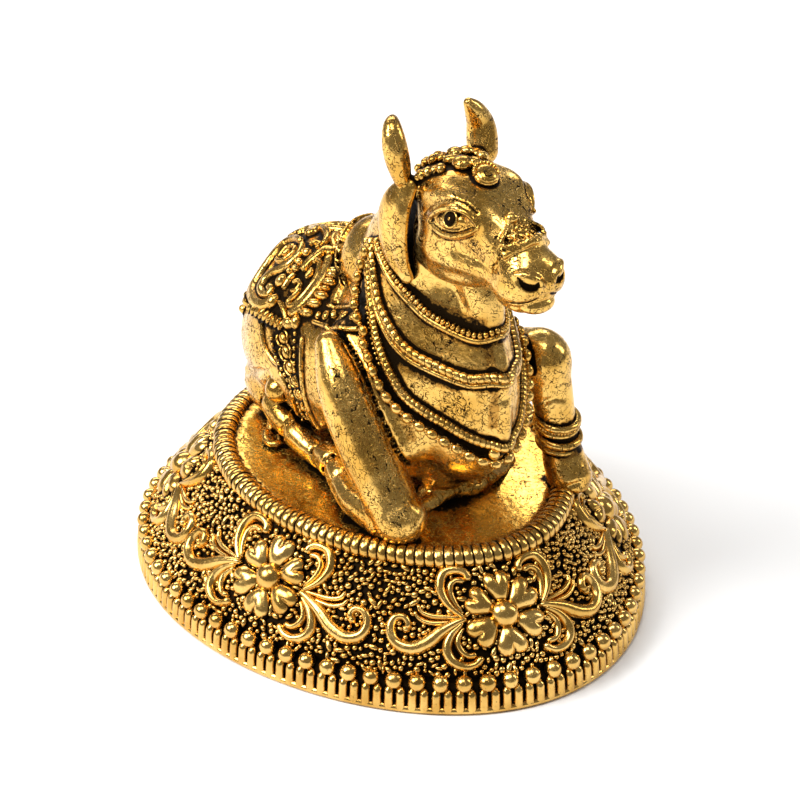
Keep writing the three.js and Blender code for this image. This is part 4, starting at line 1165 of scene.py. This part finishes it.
def bangles():
    g = Bag()
    for x, z, r in ((18.9, 31.6, 3.3), (19.5, 28.8, 3.25)):
        n = 96
        a = np.arange(n) * 2 * math.pi / n
        c = np.array([x, 16.6, z])
        e1, e2 = unit(np.array([1, 0, -0.18])), np.array([0, 1.0, 0])
        O = e1 * np.cos(a)[:, None] + e2 * np.sin(a)[:, None]
        P = c + O * (r - 0.1)
        up = np.cross(e1, e2)
        cord(g, P + up * 0.55, O, 0.62, 10, closed=True)
        cord(g, P - up * 0.75, O, 0.5, 10, closed=True)
        if z > 30:
            m = 44
            a = np.arange(m) * 2 * math.pi / m
            O = e1 * np.cos(a)[:, None] + e2 * np.sin(a)[:, None]
            g.many(*BALL, c + O * (r + 0.25) + up * 0.1, axes(np.cross(O, up), O), (0.26, 0.3, 0.3))
    return g


def head_ornaments():
    g = Bag()
    T = unturn_head

    def at(u, v, lift=0.0):
        P, N = head.snap(head.hit([(u, v)], turn=T), lift)
        return P[0], N[0]

    def lump(u, v, size, lift=0.1, turn=0.0, template=BALL_FINE, dark=0.0, mirror=False):
        p, n = at(u, v, lift)
        t = np.array([math.cos(turn), math.sin(turn), 0.0])
        for m in ((1, -1) if mirror else (1,)):
            k = np.array([1, m, 1])
            R = axes((t * k)[None], (n * k)[None])
            g.many(*template, (p * k)[None], R, size, dark)

    # two rows of lumps from the horns to the middle
    for (u0, v0), (u1, v1), n, size in (((413.5, 180.5), (445, 170), 5, (0.9, 0.75, 0.8)), ((415, 170.5), (446, 159.5), 4, (1.05, 0.8, 0.85)), ((424, 161.5), (441, 156), 3, (0.7, 0.6, 0.6))):
        for i in range(n):
            w = (i + 0.5) / n
            lump(u0 + (u1 - u0) * w, v0 + (v1 - v0) * w - 2.0 * math.sin(math.pi * w), np.array(size) * (0.92 + 0.16 * math.sin(i * 2.1 + n)), 0.3, -0.9 + 0.5 * math.sin(i * 1.7), sphere_template(14, 8), mirror=True)
    # middle flower and the pendant
    lump(463, 166, (1.7, 1.5, 1.1), 0.45, 0.3)
    lump(452, 162, (1.3, 0.9, 0.8), 0.4, 0.9)
    lump(455, 154, (1.4, 1.1, 0.9), 0.4, 0.2)
    lump(466, 154, (1.5, 1.2, 0.9), 0.5, -0.3)
    lump(477, 156, (1.4, 1.2, 0.9), 0.5, 0.4)
    lump(474, 166, (1.1, 0.9, 0.9), 0.55, 0.0)
    p, n = at(485.5, 178.5, 0.75)
    n = unit(unit(n) + np.array([0.25, -0.1, 0.1]))
    R = axes(np.array([[0.75, -0.3, -0.6]]), n[None])
    # drop: a neck of lumps, a beaded rim, a plain disc and a small curl
    nk, nn = at(476.5, 168, 0.6)
    g.many(*BALL_FINE, nk[None], R, (1.3, 0.8, 0.75))
    g.many(*BALL_FINE, p[None], R, (2.15, 1.95, 0.7))
    g.many(*BALL_FINE, p[None] + R[:, 2] * 0.3 + R[:, 0] * 0.15, R, (1.8, 1.62, 0.75))
    a = 1.6 + np.arange(12) * math.pi * 1.1 / 12
    ring = p + R[0][0] * (2.0 * np.cos(a))[:, None] + R[0][1] * (1.8 * np.sin(a))[:, None] + R[0][2] * 0.28
    g.many(*BALL, ring, np.repeat(R, 12, 0), (0.34, 0.34, 0.34), 0.1)
    b = np.linspace(-2.4, 1.0, 14)
    C = p + R[0][0] * (0.55 + 0.6 * np.cos(b))[:, None] + R[0][1] * (0.55 * np.sin(b))[:, None] + R[0][2] * 0.98
    cord(g, C, np.repeat(R[:, 2], 14, 0), 0.1, 6, dark=1)
    return g


def pupils():
    g = Bag()
    p, n = head.snap(head.hit([(450.3, 218.8)], turn=unturn_head), 0.0)
    for k in (1, -1):
        kk = np.array([1, k, 1])
        R = axes(np.array([[1, 0, 0.2]]) * kk, n * kk)
        g.many(*BALL_FINE, p * kk, R, (1.12, 1.12, 0.34), 1.0)
        a = np.arange(24) * 2 * math.pi / 24
        C = p * kk + R[0][0] * (1.22 * np.cos(a))[:, None] + R[0][1] * (1.22 * np.sin(a))[:, None]
        cord(g, C, np.repeat(R[:, 2], 24, 0), 0.22, 6, closed=True)
        # a small dome in the pupil, lighter than the pupil: a painted highlight, the eye's glint
        g.many(*BALL, (p + n * 0.26) * kk, R, (0.3, 0.3, 0.12), 0.35)
    return g


def saddle():
    """Scrolls, lumps and beads on the cloth. Points are read off a 10.45 times enlargement of the frame from (230, 215)."""
    g = Bag()

    def px(pts):
        return [(230 + x / 10.45, 215 + y / 10.45) for x, y in pts]

    def stroke(pts, wide, high=0.55, groove=0.0):
        P = body.hit(px(pts))
        P = catmull(P, 10 * len(P))
        P = resample(P, step=0.3)
        P, N = body.snap(P)
        w = np.interp(np.linspace(0, 1, len(P)), np.linspace(0, 1, len(wide)), wide) if np.ndim(wide) else np.full(len(P), wide)
        ok = (np.linalg.norm((P - HUMP[0]) / (HUMP[1] + 0.7), axis=1) > 1) & (P[:, 1] < 0.3)
        runs = np.split(np.arange(len(P)), np.nonzero(np.diff(ok.astype(int)))[0] + 1)
        best = max((r for r in runs if ok[r[0]]), key=len, default=[])
        if len(best) < 5:
            return
        P, N, w = P[best], N[best], w[best]
        for k in (1, -1):
            kk = np.array([1, k, 1])
            Q, M = (P, N) if k == 1 else (P[::-1] * kk, N[::-1] * kk)
            v = 1.42 * (w if k == 1 else w[::-1])
            # a wider, flat dark ridge under each stroke gives it a dark outline: painted shade, with patina in the join
            ridge(g, Q, M, v + 0.26, 0.2, 5, dark=1)
            g.dark_last(1.0)
            ridge(g, Q, M, v, 1.5 * high, 9, groove=groove)

    def lump(x, y, a, b, turn=0.0, high=0.75):
        p, n = body.snap(body.hit(px([(x, y), (x + 8 * math.cos(turn), y + 8 * math.sin(turn))])))
        t = unit(p[1] - p[0])
        if np.linalg.norm((p[0] - HUMP[0]) / (HUMP[1] + 0.3)) < 1:
            return
        for k in (1, -1):
            kk = np.array([1, k, 1])
            # a slightly larger dark lump under each lump gives it a dark outline: painted shade, with patina in the
            # join
            g.many(*sphere_template(12, 8), (p[:1]) * kk, axes((t * kk)[None], n[:1] * kk), (a / 48 + 0.2, b / 48 + 0.2, 0.3), 1.0)
            g.many(*sphere_template(12, 8), (p[:1]) * kk, axes((t * kk)[None], n[:1] * kk), (a / 48, b / 48, high * 1.4), smooth(0.3, -0.1, sphere_template(12, 8)[0][:, 2]))

    stroke([(760, 290), (690, 262), (590, 300), (490, 400), (400, 520), (320, 640), (255, 750), (238, 840), (280, 915), (355, 940), (430, 905), (470, 840)], [0.4, 0.5, 0.55, 0.6, 0.65, 0.65, 0.6], 0.7, 0.25)
    stroke([(770, 300), (740, 400), (650, 500), (540, 570), (450, 610), (380, 680), (335, 760), (350, 825), (410, 835), (445, 785), (410, 745)], [0.35, 0.5, 0.55, 0.5, 0.5, 0.45, 0.5], 0.65, 0.2)
    stroke([(690, 335), (620, 345), (550, 410), (505, 480), (560, 485), (640, 435), (690, 375), (690, 335)], [0.28, 0.36, 0.28], 0.5)
    stroke([(650, 385), (600, 410), (560, 450)], [0.2, 0.5, 0.2], 0.6)
    stroke([(1200, 385), (1120, 365), (1030, 380), (940, 420), (860, 480), (800, 545), (765, 600)], [0.4, 0.6, 0.65, 0.6, 0.45], 0.7, 0.25)
    stroke([(1045, 440), (1020, 560), (960, 690), (880, 810), (790, 920), (700, 1000), (625, 1045)], [0.5, 0.65, 0.7, 0.65, 0.5], 0.75, 0.25)
    stroke([(770, 600), (820, 520), (890, 485), (945, 510), (930, 620), (880, 720), (800, 830), (710, 925), (645, 955), (625, 915), (690, 850), (760, 770)], [0.3, 0.4, 0.42, 0.4, 0.3], 0.55)
    stroke([(800, 680), (860, 590), (880, 560)], [0.2, 0.45, 0.25], 0.5)
    stroke([(660, 720), (720, 690), (740, 740), (700, 790), (640, 800)], 0.3, 0.45)
    stroke([(560, 790), (600, 720), (650, 650), (700, 620)], [0.3, 0.4, 0.3], 0.45)
    stroke([(520, 900), (560, 960), (590, 1040), (600, 1120)], [0.3, 0.4, 0.3], 0.5)
    stroke([(640, 270), (680, 200), (760, 150), (850, 140), (900, 170), (860, 210), (800, 220)], [0.4, 0.7, 0.8, 0.6, 0.4], 0.8, 0.2)
    stroke([(880, 170), (950, 150), (1010, 190), (1020, 260), (980, 330)], [0.4, 0.55, 0.4], 0.6)
    stroke([(830, 330), (890, 300), (950, 320), (900, 370)], 0.35, 0.5)
    a = np.linspace(-0.5, 2 * math.pi - 1.0, 12)
    stroke([(1150 + 75 * math.cos(b), 280 + 60 * math.sin(b)) for b in a], 0.4, 0.6)
    for x, y, r1, r2, t in ((810, 405, 46, 40, 0.3), (735, 505, 40, 34, 0.6), (700, 570, 38, 32, 0), (640, 600, 30, 26, 0), (545, 690, 62, 44, -0.9), (455, 905, 68, 46, -0.9), (1150, 280, 36, 30, 0), (150, 900, 60, 44, -1.2), (115, 970, 46, 40, -1.2), (180, 830, 44, 36, -1.0), (620, 1130, 60, 50, 0.2), (700, 1120, 44, 60, 0.2)):
        lump(x, y, r1, r2, t)
    # bead row along the front edge
    for x, y, s in ((1150, 470, 0.9), (1110, 530, 0.9), (1095, 590, 1.0), (1070, 645, 1.0), (1040, 715, 1.15), (1010, 785, 0.7), (965, 790, 0.6), (960, 850, 1.15), (885, 930, 1.2), (810, 1025, 1.1)):
        lump(x, y, 62 * s, 34 * s, 0.1, 0.8)
    # fringe under the rear border
    for i in range(9):
        w = i / 8
        lump(215 + 330 * w, 960 + 190 * w, 24, 52, 0.9, 0.45)
    return g


def panel():
    """The hanging panel behind the foreleg, the breast strap and the cloth's edges."""
    g = Bag()

    def line(uv, wide, high=0.45, groove=0.0, step=0.3):
        P = body.hit(uv)
        P = resample(catmull(P, 10 * len(P)), step=step)
        P, N = body.snap(P)
        for k in (1, -1):
            kk = np.array([1, k, 1])
            ridge(g, (P if k == 1 else P[::-1]) * kk, (N if k == 1 else N[::-1]) * kk, wide, high, 9, groove=groove)

    def row(uv, spacing, size, lift=0.1):
        P = body.hit(uv)
        P = resample(catmull(P, 10 * len(P)), step=0.3)
        P, N = body.snap(P)
        for k in (1, -1):
            kk = np.array([1, k, 1])
            beads(g, P * kk, N * kk, spacing, size, lift)

    rear = [(262, 322), (266.8, 350), (284, 379.5), (293.6, 401), (307, 421), (318, 431)]
    front = [(303, 336), (302, 360), (303, 383.5), (309.6, 410), (320, 430)]
    line(rear, 0.42, 0.5)
    line(front, 0.42, 0.5)
    row([(272, 335), (276, 356), (290, 384), (299, 404), (310, 421)], 1.0, (0.4, 0.3, 0.35))
    row([(296, 330), (295, 358), (297, 384), (303, 404), (312, 420)], 1.1, (0.42, 0.3, 0.35))
    for (u, v), r in (((283, 338), 1.1), ((286, 352), 1.2), ((290, 367), 1.1), ((294.5, 381), 0.9), ((299, 394), 0.8), ((305, 408), 0.6)):
        p, n = body.snap(body.hit([(u, v), (u + 1, v + 3)]))
        t = unit(p[1] - p[0])
        for k in (1, -1):
            kk = np.array([1, k, 1])
            R = axes((t * kk)[None], n[:1] * kk)
            g.many(*sphere_template(12, 8), p[:1] * kk, R, (r * 0.9, r * 0.62, 0.5), 0.0)
            for side in (-1, 1):
                b = np.linspace(0.2, 2.6, 8)
                C = p[0] * kk + R[0][0] * (r * 1.15 * np.cos(b))[:, None] + side * R[0][1] * (r * 1.1 * np.sin(b))[:, None] + R[0][2] * 0.1
                C, M = body.snap(C)
                ridge(g, C if side * k < 0 else C[::-1], M if side * k < 0 else M[::-1], 0.2, 0.35, 7)
    # breast strap
    line([(327, 305.5), (338, 307), (350, 306), (360, 303)], 0.3, 0.35)
    line([(312, 321), (325, 325.5), (340, 328), (360, 329)], 0.42, 0.4)
    for u, v, r in ((318.5, 315.5, 0.7), (326, 315.5, 0.85), (334.7, 314.5, 0.9), (344.2, 315.5, 0.9), (353, 316.5, 0.8)):
        p, n = body.snap(body.hit([(u, v), (u + 2, v)]))
        for kk in (np.array([1, 1, 1]), np.array([1, -1, 1])):
            R = axes((unit(p[1] - p[0]) * kk)[None], n[:1] * kk)
            # a larger flat dark copy under each boss gives it a dark outline: painted shade, with patina in the join
            g.many(*sphere_template(12, 8), p[:1] * kk, R, (r * 0.8 + 0.16, r + 0.16, 0.2), 1.0)
            g.many(*sphere_template(12, 8), p[:1] * kk, R, (r * 0.8, r, 0.5), 0.0)
    return g


def place(name, bag, turn=None):
    V, F, d = bag.arrays()
    if turn:
        V = turn(V)
    return new_object(name, V, F, d, "bull"), V, d


V, Q = clean(*body.mesh())
say("body net", len(V))
BODY_V, BODY_Q = V, Q
V, Q = clean(*head.mesh())
HEAD_V, HEAD_Q = turn_head(V), Q
new_object("bull_body", BODY_V, [BODY_Q], np.zeros(len(BODY_V)), "bull")
new_object("bull_head", HEAD_V, [HEAD_Q], np.zeros(len(HEAD_V)), "bull")
place("bull_garlands", garlands())
place("bull_bangles", bangles())
place("bull_headband", head_ornaments(), turn_head)
place("bull_pupils", pupils(), turn_head)
place("bull_saddle", saddle())
place("bull_panel", panel())


# ------------------------------------------------------------------ patina and painted shade from how enclosed each point is
def shade():
    """Fills `dark` on every piece from the share of solid close to each point: patina in the hollows and painted shade
    wherever a point is enclosed.
    """
    h = 0.5
    lo = np.array([-46.0, -40.0, -1.0])
    n = (np.array([92, 80, 90]) / h).astype(int)
    occ = np.zeros(tuple(n), np.float32)
    ax = [lo[i] + h * (np.arange(n[i]) + 0.5) for i in range(3)]
    X, Y, Z = np.meshgrid(*ax, indexing="ij")
    P = np.stack([X, Y, Z], -1).reshape(-1, 3)
    # plinth
    r_in = np.sqrt((P[:, 0] / BASE_A) ** 2 + (P[:, 1] / (BASE_B * (1 + EGG * P[:, 0] / BASE_A))) ** 2)
    inset = (1 - r_in) * BASE_A
    top = np.interp(inset, [0, 0.2, 2.5, 12.7, 13.0, 14.2, 15.4, 16.0, 45], [3.8, 4.4, 5.5, 18.4, 20.2, 20.7, 20.2, 20.0, 19.8])
    occ.ravel()[(inset > 0) & (P[:, 2] < top)] = 1
    up = P[:, 2] > 18
    Pu = P[up] - DATUM
    s = np.minimum(body.sample(Pu), head.sample(unturn_head(Pu)))
    o = occ.ravel()
    o[np.nonzero(up)[0][s < 0]] = 1
    for ob in OBJECTS:
        if ob.name in ("bull_body", "bull_head", "base_body", "base_floor", "base_granules"):
            continue
        co = np.empty(len(ob.data.vertices) * 3, np.float32)
        ob.data.vertices.foreach_get("co", co)
        i = ((co.reshape(-1, 3) / MM - lo) / h).astype(int)
        ok = np.all((i >= 0) & (i < n), 1)
        i = i[ok]
        occ[i[:, 0], i[:, 1], i[:, 2]] = 1

    def blur(A, r):
        for axis in range(3):
            C = np.cumsum(np.pad(A, [(r + 1, r) if k == axis else (0, 0) for k in range(3)], mode="edge"), axis=axis, dtype=np.float64)
            a = [slice(None)] * 3
            b = [slice(None)] * 3
            a[axis], b[axis] = slice(2 * r + 1, None), slice(0, -(2 * r + 1))
            A = ((C[tuple(a)] - C[tuple(b)]) / (2 * r + 1)).astype(np.float32)
        return A

    trim = np.zeros_like(occ)
    for ob in OBJECTS:
        if ob.name in ("bull_garlands", "bull_saddle", "bull_panel", "bull_headband", "bull_bangles"):
            co = np.empty(len(ob.data.vertices) * 3, np.float32)
            ob.data.vertices.foreach_get("co", co)
            i = ((co.reshape(-1, 3) / MM - lo) / h).astype(int)
            trim[i[:, 0], i[:, 1], i[:, 2]] = 1
    trim = blur(blur(trim, 1), 1)
    near = blur(blur(occ, 1), 1)
    wide = blur(blur(occ, 3), 2)

    def look(A, P):
        g = (P - lo) / h - 0.5
        i = np.clip(np.floor(g).astype(int), 0, np.array(A.shape) - 2)
        f = np.clip(g - i, 0, 1)
        out = np.zeros(len(P))
        for dx in (0, 1):
            for dy in (0, 1):
                for dz in (0, 1):
                    w = (f[:, 0] if dx else 1 - f[:, 0]) * (f[:, 1] if dy else 1 - f[:, 1]) * (f[:, 2] if dz else 1 - f[:, 2])
                    out += w * A[i[:, 0] + dx, i[:, 1] + dy, i[:, 2] + dz]
        return out

    for ob in OBJECTS:
        me = ob.data
        k = len(me.vertices)
        co = np.empty(k * 3, np.float32)
        me.vertices.foreach_get("co", co)
        no = np.empty(k * 3, np.float32)
        me.vertex_normals.foreach_get("vector", no)
        P, N = co.reshape(-1, 3).astype(float) / MM, no.reshape(-1, 3).astype(float)
        a = look(near, P + N * 0.75)
        b = look(wide, P + N * 2.0)
        d = np.empty(k, np.float32)
        me.attributes["dark"].data.foreach_get("value", d)
        if ob.name in ("bull_body", "bull_head"):
            # patina and painted shade: darker where the point is enclosed, close by and further off, and next to the
            # ornaments lying on the body
            c = smooth(0.28, 0.56, a) * 0.85 + smooth(0.32, 0.72, b) * 0.55 + smooth(0.03, 0.30, look(trim, P)) * 0.6
            etch = me.attributes.new("etched", "FLOAT", "POINT")
            Q = P - DATUM if ob.name == "bull_body" else unturn_head(P - DATUM)
            e = np.zeros(k)
            for C, r in (ETCHED_BODY if ob.name == "bull_body" else ETCHED_HEAD):
                e = np.maximum(e, smooth(1.15, 0.8, np.linalg.norm(Q - C, axis=1) / r))
            etch.data.foreach_set("value", e.astype(np.float32))
            if ob.name == "bull_body":
                # dark patches: patina and painted shade
                for C, r, more in PATCHES:
                    c += more * smooth(1.3, 0.5, np.linalg.norm((P - DATUM)[:, None] - C[None], axis=2).min(1) / r)
                # near the ledge most of the patina and painted shade is lifted, so the ledge stays bright
                c *= 1 - 0.8 * smooth(1.9, 1.2, np.linalg.norm((P - DATUM)[:, None] - LEDGE[None], axis=2).min(1))
            if ob.name == "bull_head":
                Q = unturn_head(P - DATUM)
                # darker along the head's cuts: patina in the cut and painted shade in the groove
                for C, r in CUT_PATINA_AND_SHADE:
                    gap = np.full(len(Q), 9.0)
                    close = np.all((Q > C.min(0) - 1.5) & (Q < C.max(0) + 1.5), 1)
                    if close.any():
                        D2 = np.linalg.norm(Q[close][:, None] - C[None], axis=2) / r[None]
                        gap[close] = D2.min(1)
                    c = np.maximum(c, smooth(1.3, 0.9, gap) * 0.95)
        # other pieces: patina and painted shade from how enclosed each point is; on the floor inside the rim this
        # darkens it round the bull and the rope
        elif ob.name.startswith("bull"):
            c = smooth(0.52, 0.85, a) * 0.7 + smooth(0.45, 0.8, b) * 0.3
        elif ob.name == "base_floor":
            c = smooth(0.3, 0.6, a) * 0.7 + smooth(0.34, 0.7, b) * 0.5
        else:
            c = smooth(0.5, 0.8, b) * 0.25
        me.attributes["dark"].data.foreach_set("value", np.clip(np.maximum(d, c), 0, 1).astype(np.float32))
    say("patina")


shade()


# ------------------------------------------------------------------ materials
def gold_material(name, bright, warm, rough=0.2, specks=0.5, crackle=0.5, fine=0.25):
    """Antique gold: polished metal, dark patina and painted shade where `dark` is high, warm stains, specks and fine
    crackle.
    """
    mat = bpy.data.materials.new(name)
    mat.use_nodes = True
    nt = mat.node_tree
    nt.nodes.clear()
    new = nt.nodes.new
    link = nt.links.new
    out = new("ShaderNodeOutputMaterial")
    bsdf = new("ShaderNodeBsdfPrincipled")
    link(bsdf.outputs[0], out.inputs[0])
    coord = new("ShaderNodeTexCoord")
    mm = new("ShaderNodeMapping")
    mm.inputs["Scale"].default_value = (1000, 1000, 1000)
    link(coord.outputs["Object"], mm.inputs[0])

    def noise(scale, detail=3.0, rough_=0.55, dist=0.0):
        n = new("ShaderNodeTexNoise")
        n.inputs["Scale"].default_value = scale
        n.inputs["Detail"].default_value = detail
        n.inputs["Roughness"].default_value = rough_
        n.inputs["Distortion"].default_value = dist
        link(mm.outputs[0], n.inputs["Vector"])
        return n.outputs["Fac"]

    def math_(op, a, b=None, c=None, clamp=False):
        n = new("ShaderNodeMath")
        n.operation = op
        n.use_clamp = clamp
        for i, v in enumerate((a, b, c)):
            if v is None:
                continue
            if isinstance(v, (int, float)):
                n.inputs[i].default_value = v
            else:
                link(v, n.inputs[i])
        return n.outputs[0]

    def ramp(v, lo, hi, a=0.0, b=1.0):
        n = new("ShaderNodeMapRange")
        n.interpolation_type = "SMOOTHSTEP"
        for k, x in (("From Min", lo), ("From Max", hi), ("To Min", a), ("To Max", b)):
            n.inputs[k].default_value = x
        link(v, n.inputs["Value"])
        return n.outputs["Result"]

    def mix(f, a, b):
        n = new("ShaderNodeMix")
        n.data_type = "RGBA"
        if isinstance(f, (int, float)):
            n.inputs["Factor"].default_value = f
        else:
            link(f, n.inputs["Factor"])
        for k, v in ((6, a), (7, b)):
            if isinstance(v, tuple):
                n.inputs[k].default_value = (*v, 1)
            else:
                link(v, n.inputs[k])
        return n.outputs[2]

    dark = new("ShaderNodeAttribute")
    dark.attribute_name = "dark"
    dark = dark.outputs["Fac"]
    blotch = noise(0.13, 3.0, 0.6)
    grime = noise(1.1, 4.0, 0.65)
    # patina and painted shade gather in the low and enclosed places, with a ragged edge
    d = math_("ADD", dark, math_("MULTIPLY", math_("SUBTRACT", grime, 0.5), 0.85))
    low = ramp(d, 0.40, 0.60)
    # specks: small pits left dark
    sp = noise(2.3, 4.0, 0.7)
    pits = math_("MULTIPLY", ramp(sp, 0.64, 0.675), specks)
    # crackle: short wandering strokes in patches
    run = noise(1.15, 2.5, 0.5, 0.35)
    line = ramp(math_("ABSOLUTE", math_("SUBTRACT", run, 0.5)), 0.022, 0.009)
    run2 = noise(0.72, 2.0, 0.5, 0.6)
    line2 = ramp(math_("ABSOLUTE", math_("SUBTRACT", run2, 0.5)), 0.015, 0.006)
    broken = ramp(noise(0.75, 3.0, 0.6), 0.47, 0.53)
    patch = ramp(noise(0.19, 2.0), 0.34, 0.48)
    crack = math_("MULTIPLY", math_("MULTIPLY", math_("MAXIMUM", math_("MULTIPLY", line, broken), line2), patch), crackle)
    # engraved squiggles where `etched` is high
    etched = new("ShaderNodeAttribute")
    etched.attribute_name = "etched"
    curl = ramp(math_("ABSOLUTE", math_("SUBTRACT", noise(0.8, 1.2, 0.5, 1.2), 0.5)), 0.036, 0.016)
    crack = math_("MAXIMUM", crack, math_("MULTIPLY", curl, math_("MULTIPLY", ramp(etched.outputs["Fac"], 0.1, 0.8), ramp(noise(0.9, 2.0), 0.4, 0.46))))
    black = math_("MAXIMUM", math_("MAXIMUM", low, pits), crack, clamp=True)
    tone = mix(ramp(blotch, 0.36, 0.64), bright, warm)
    # a warmer, darker tone spreading from the patina and painted shade
    tone = mix(ramp(d, 0.12, 0.42, 0.0, 0.75), tone, (warm[0] * 0.55, warm[1] * 0.42, warm[2] * 0.3))
    col = mix(black, tone, (0.012, 0.007, 0.003))
    link(col, bsdf.inputs["Base Color"])
    bsdf.inputs["Metallic"].default_value = 1.0
    link(math_("ADD", math_("ADD", rough, math_("MULTIPLY", ramp(grime, 0.4, 0.7), 0.10)), math_("MULTIPLY", black, 0.4), clamp=True), bsdf.inputs["Roughness"])
    bump = new("ShaderNodeBump")
    bump.inputs["Strength"].default_value = 1.0
    bump.inputs["Distance"].default_value = 0.00012
    hgt = math_("SUBTRACT", math_("MULTIPLY", noise(0.6, 3.0, 0.5), fine * 2.6), math_("MULTIPLY", math_("MAXIMUM", pits, crack), 1.0))
    link(hgt, bump.inputs["Height"])
    link(bump.outputs[0], bsdf.inputs["Normal"])
    return mat


GOLD = gold_material("antique_gold", (0.86, 0.53, 0.14), (0.64, 0.35, 0.065), 0.17, 0.75, 0.95)
BASE_GOLD = gold_material("antique_gold_relief", (0.82, 0.52, 0.155), (0.6, 0.34, 0.075), 0.19, 0.4, 0.0, 0.2)
# the floor inside the rim gets a lighter, more saturated copy of the gold: a painted sheen for its brighter reflection
FLOOR_GOLD_PAINTED_SHEEN = gold_material("antique_gold_floor_painted_sheen", (0.95, 0.6, 0.12), (0.8, 0.46, 0.07), 0.2, 0.6, 0.7, 0.3)
for ob in OBJECTS:
    ob.data.materials.append(FLOOR_GOLD_PAINTED_SHEEN if ob.name == "base_floor" else BASE_GOLD if ob.name.startswith("base") else GOLD)


# ------------------------------------------------------------------ floor and studio light
def stage_floor():
    n = 96
    a = np.arange(n) * 2 * math.pi / n
    V = np.concatenate([[[0, 0, -0.0001]], np.stack([1.6 * np.cos(a), 1.6 * np.sin(a), np.full(n, -0.0001)], 1)])
    me = bpy.data.meshes.new("floor")
    me.from_pydata(V.tolist(), [], [(0, 1 + i, 1 + (i + 1) % n) for i in range(n)])
    ob = bpy.data.objects.new("floor", me)
    bpy.context.collection.objects.link(ob)
    m = bpy.data.materials.new("floor_white")
    m.use_nodes = True
    b = m.node_tree.nodes["Principled BSDF"]
    b.inputs["Base Color"].default_value = (0.95, 0.95, 0.95, 1)
    b.inputs["Roughness"].default_value = 0.6
    me.materials.append(m)
    ob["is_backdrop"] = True


def softbox(name, at, size, power, colour=(1, 1, 1), aim=(0, 0, 0.035)):
    li = bpy.data.lights.new(name, "AREA")
    li.shape = "RECTANGLE"
    li.size, li.size_y = size
    li.energy = power
    li.color = colour
    ob = bpy.data.objects.new(name, li)
    bpy.context.collection.objects.link(ob)
    ob.location = at
    from mathutils import Vector
    ob.rotation_euler = (Vector(aim) - Vector(at)).to_track_quat("-Z", "Y").to_euler()


def around(az, el, dist):
    """A place seen from the object: az turns from the camera's side, el up from the table."""
    a, e = AZ + math.radians(az), math.radians(el)
    return (dist * math.sin(a) * math.cos(e), -dist * math.cos(a) * math.cos(e), dist * math.sin(e))


stage_floor()
softbox("key", around(-74, 44, 1.1), (0.62, 0.55), 14.0)
softbox("top", around(-30, 76, 1.2), (0.5, 0.45), 5.0)
softbox("side", around(100, 32, 1.1), (0.2, 0.6), 2.6)
softbox("back", around(190, 36, 1.3), (1.1, 0.4), 6.0)
world = bpy.data.worlds.new("studio")
bpy.context.scene.world = world
world.use_nodes = True
bg = world.node_tree.nodes["Background"]
bg.inputs[0].default_value = (1.0, 0.98, 0.95, 1)
bg.inputs[1].default_value = 0.22
bpy.context.scene.view_settings.view_transform = "Standard"
bpy.context.scene.view_settings.look = "None"

size = {"cad": [[float(x) for x in v] for v in CAD_BOX], "visual": [[float(x) for x in v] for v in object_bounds()]}
say("done", size)
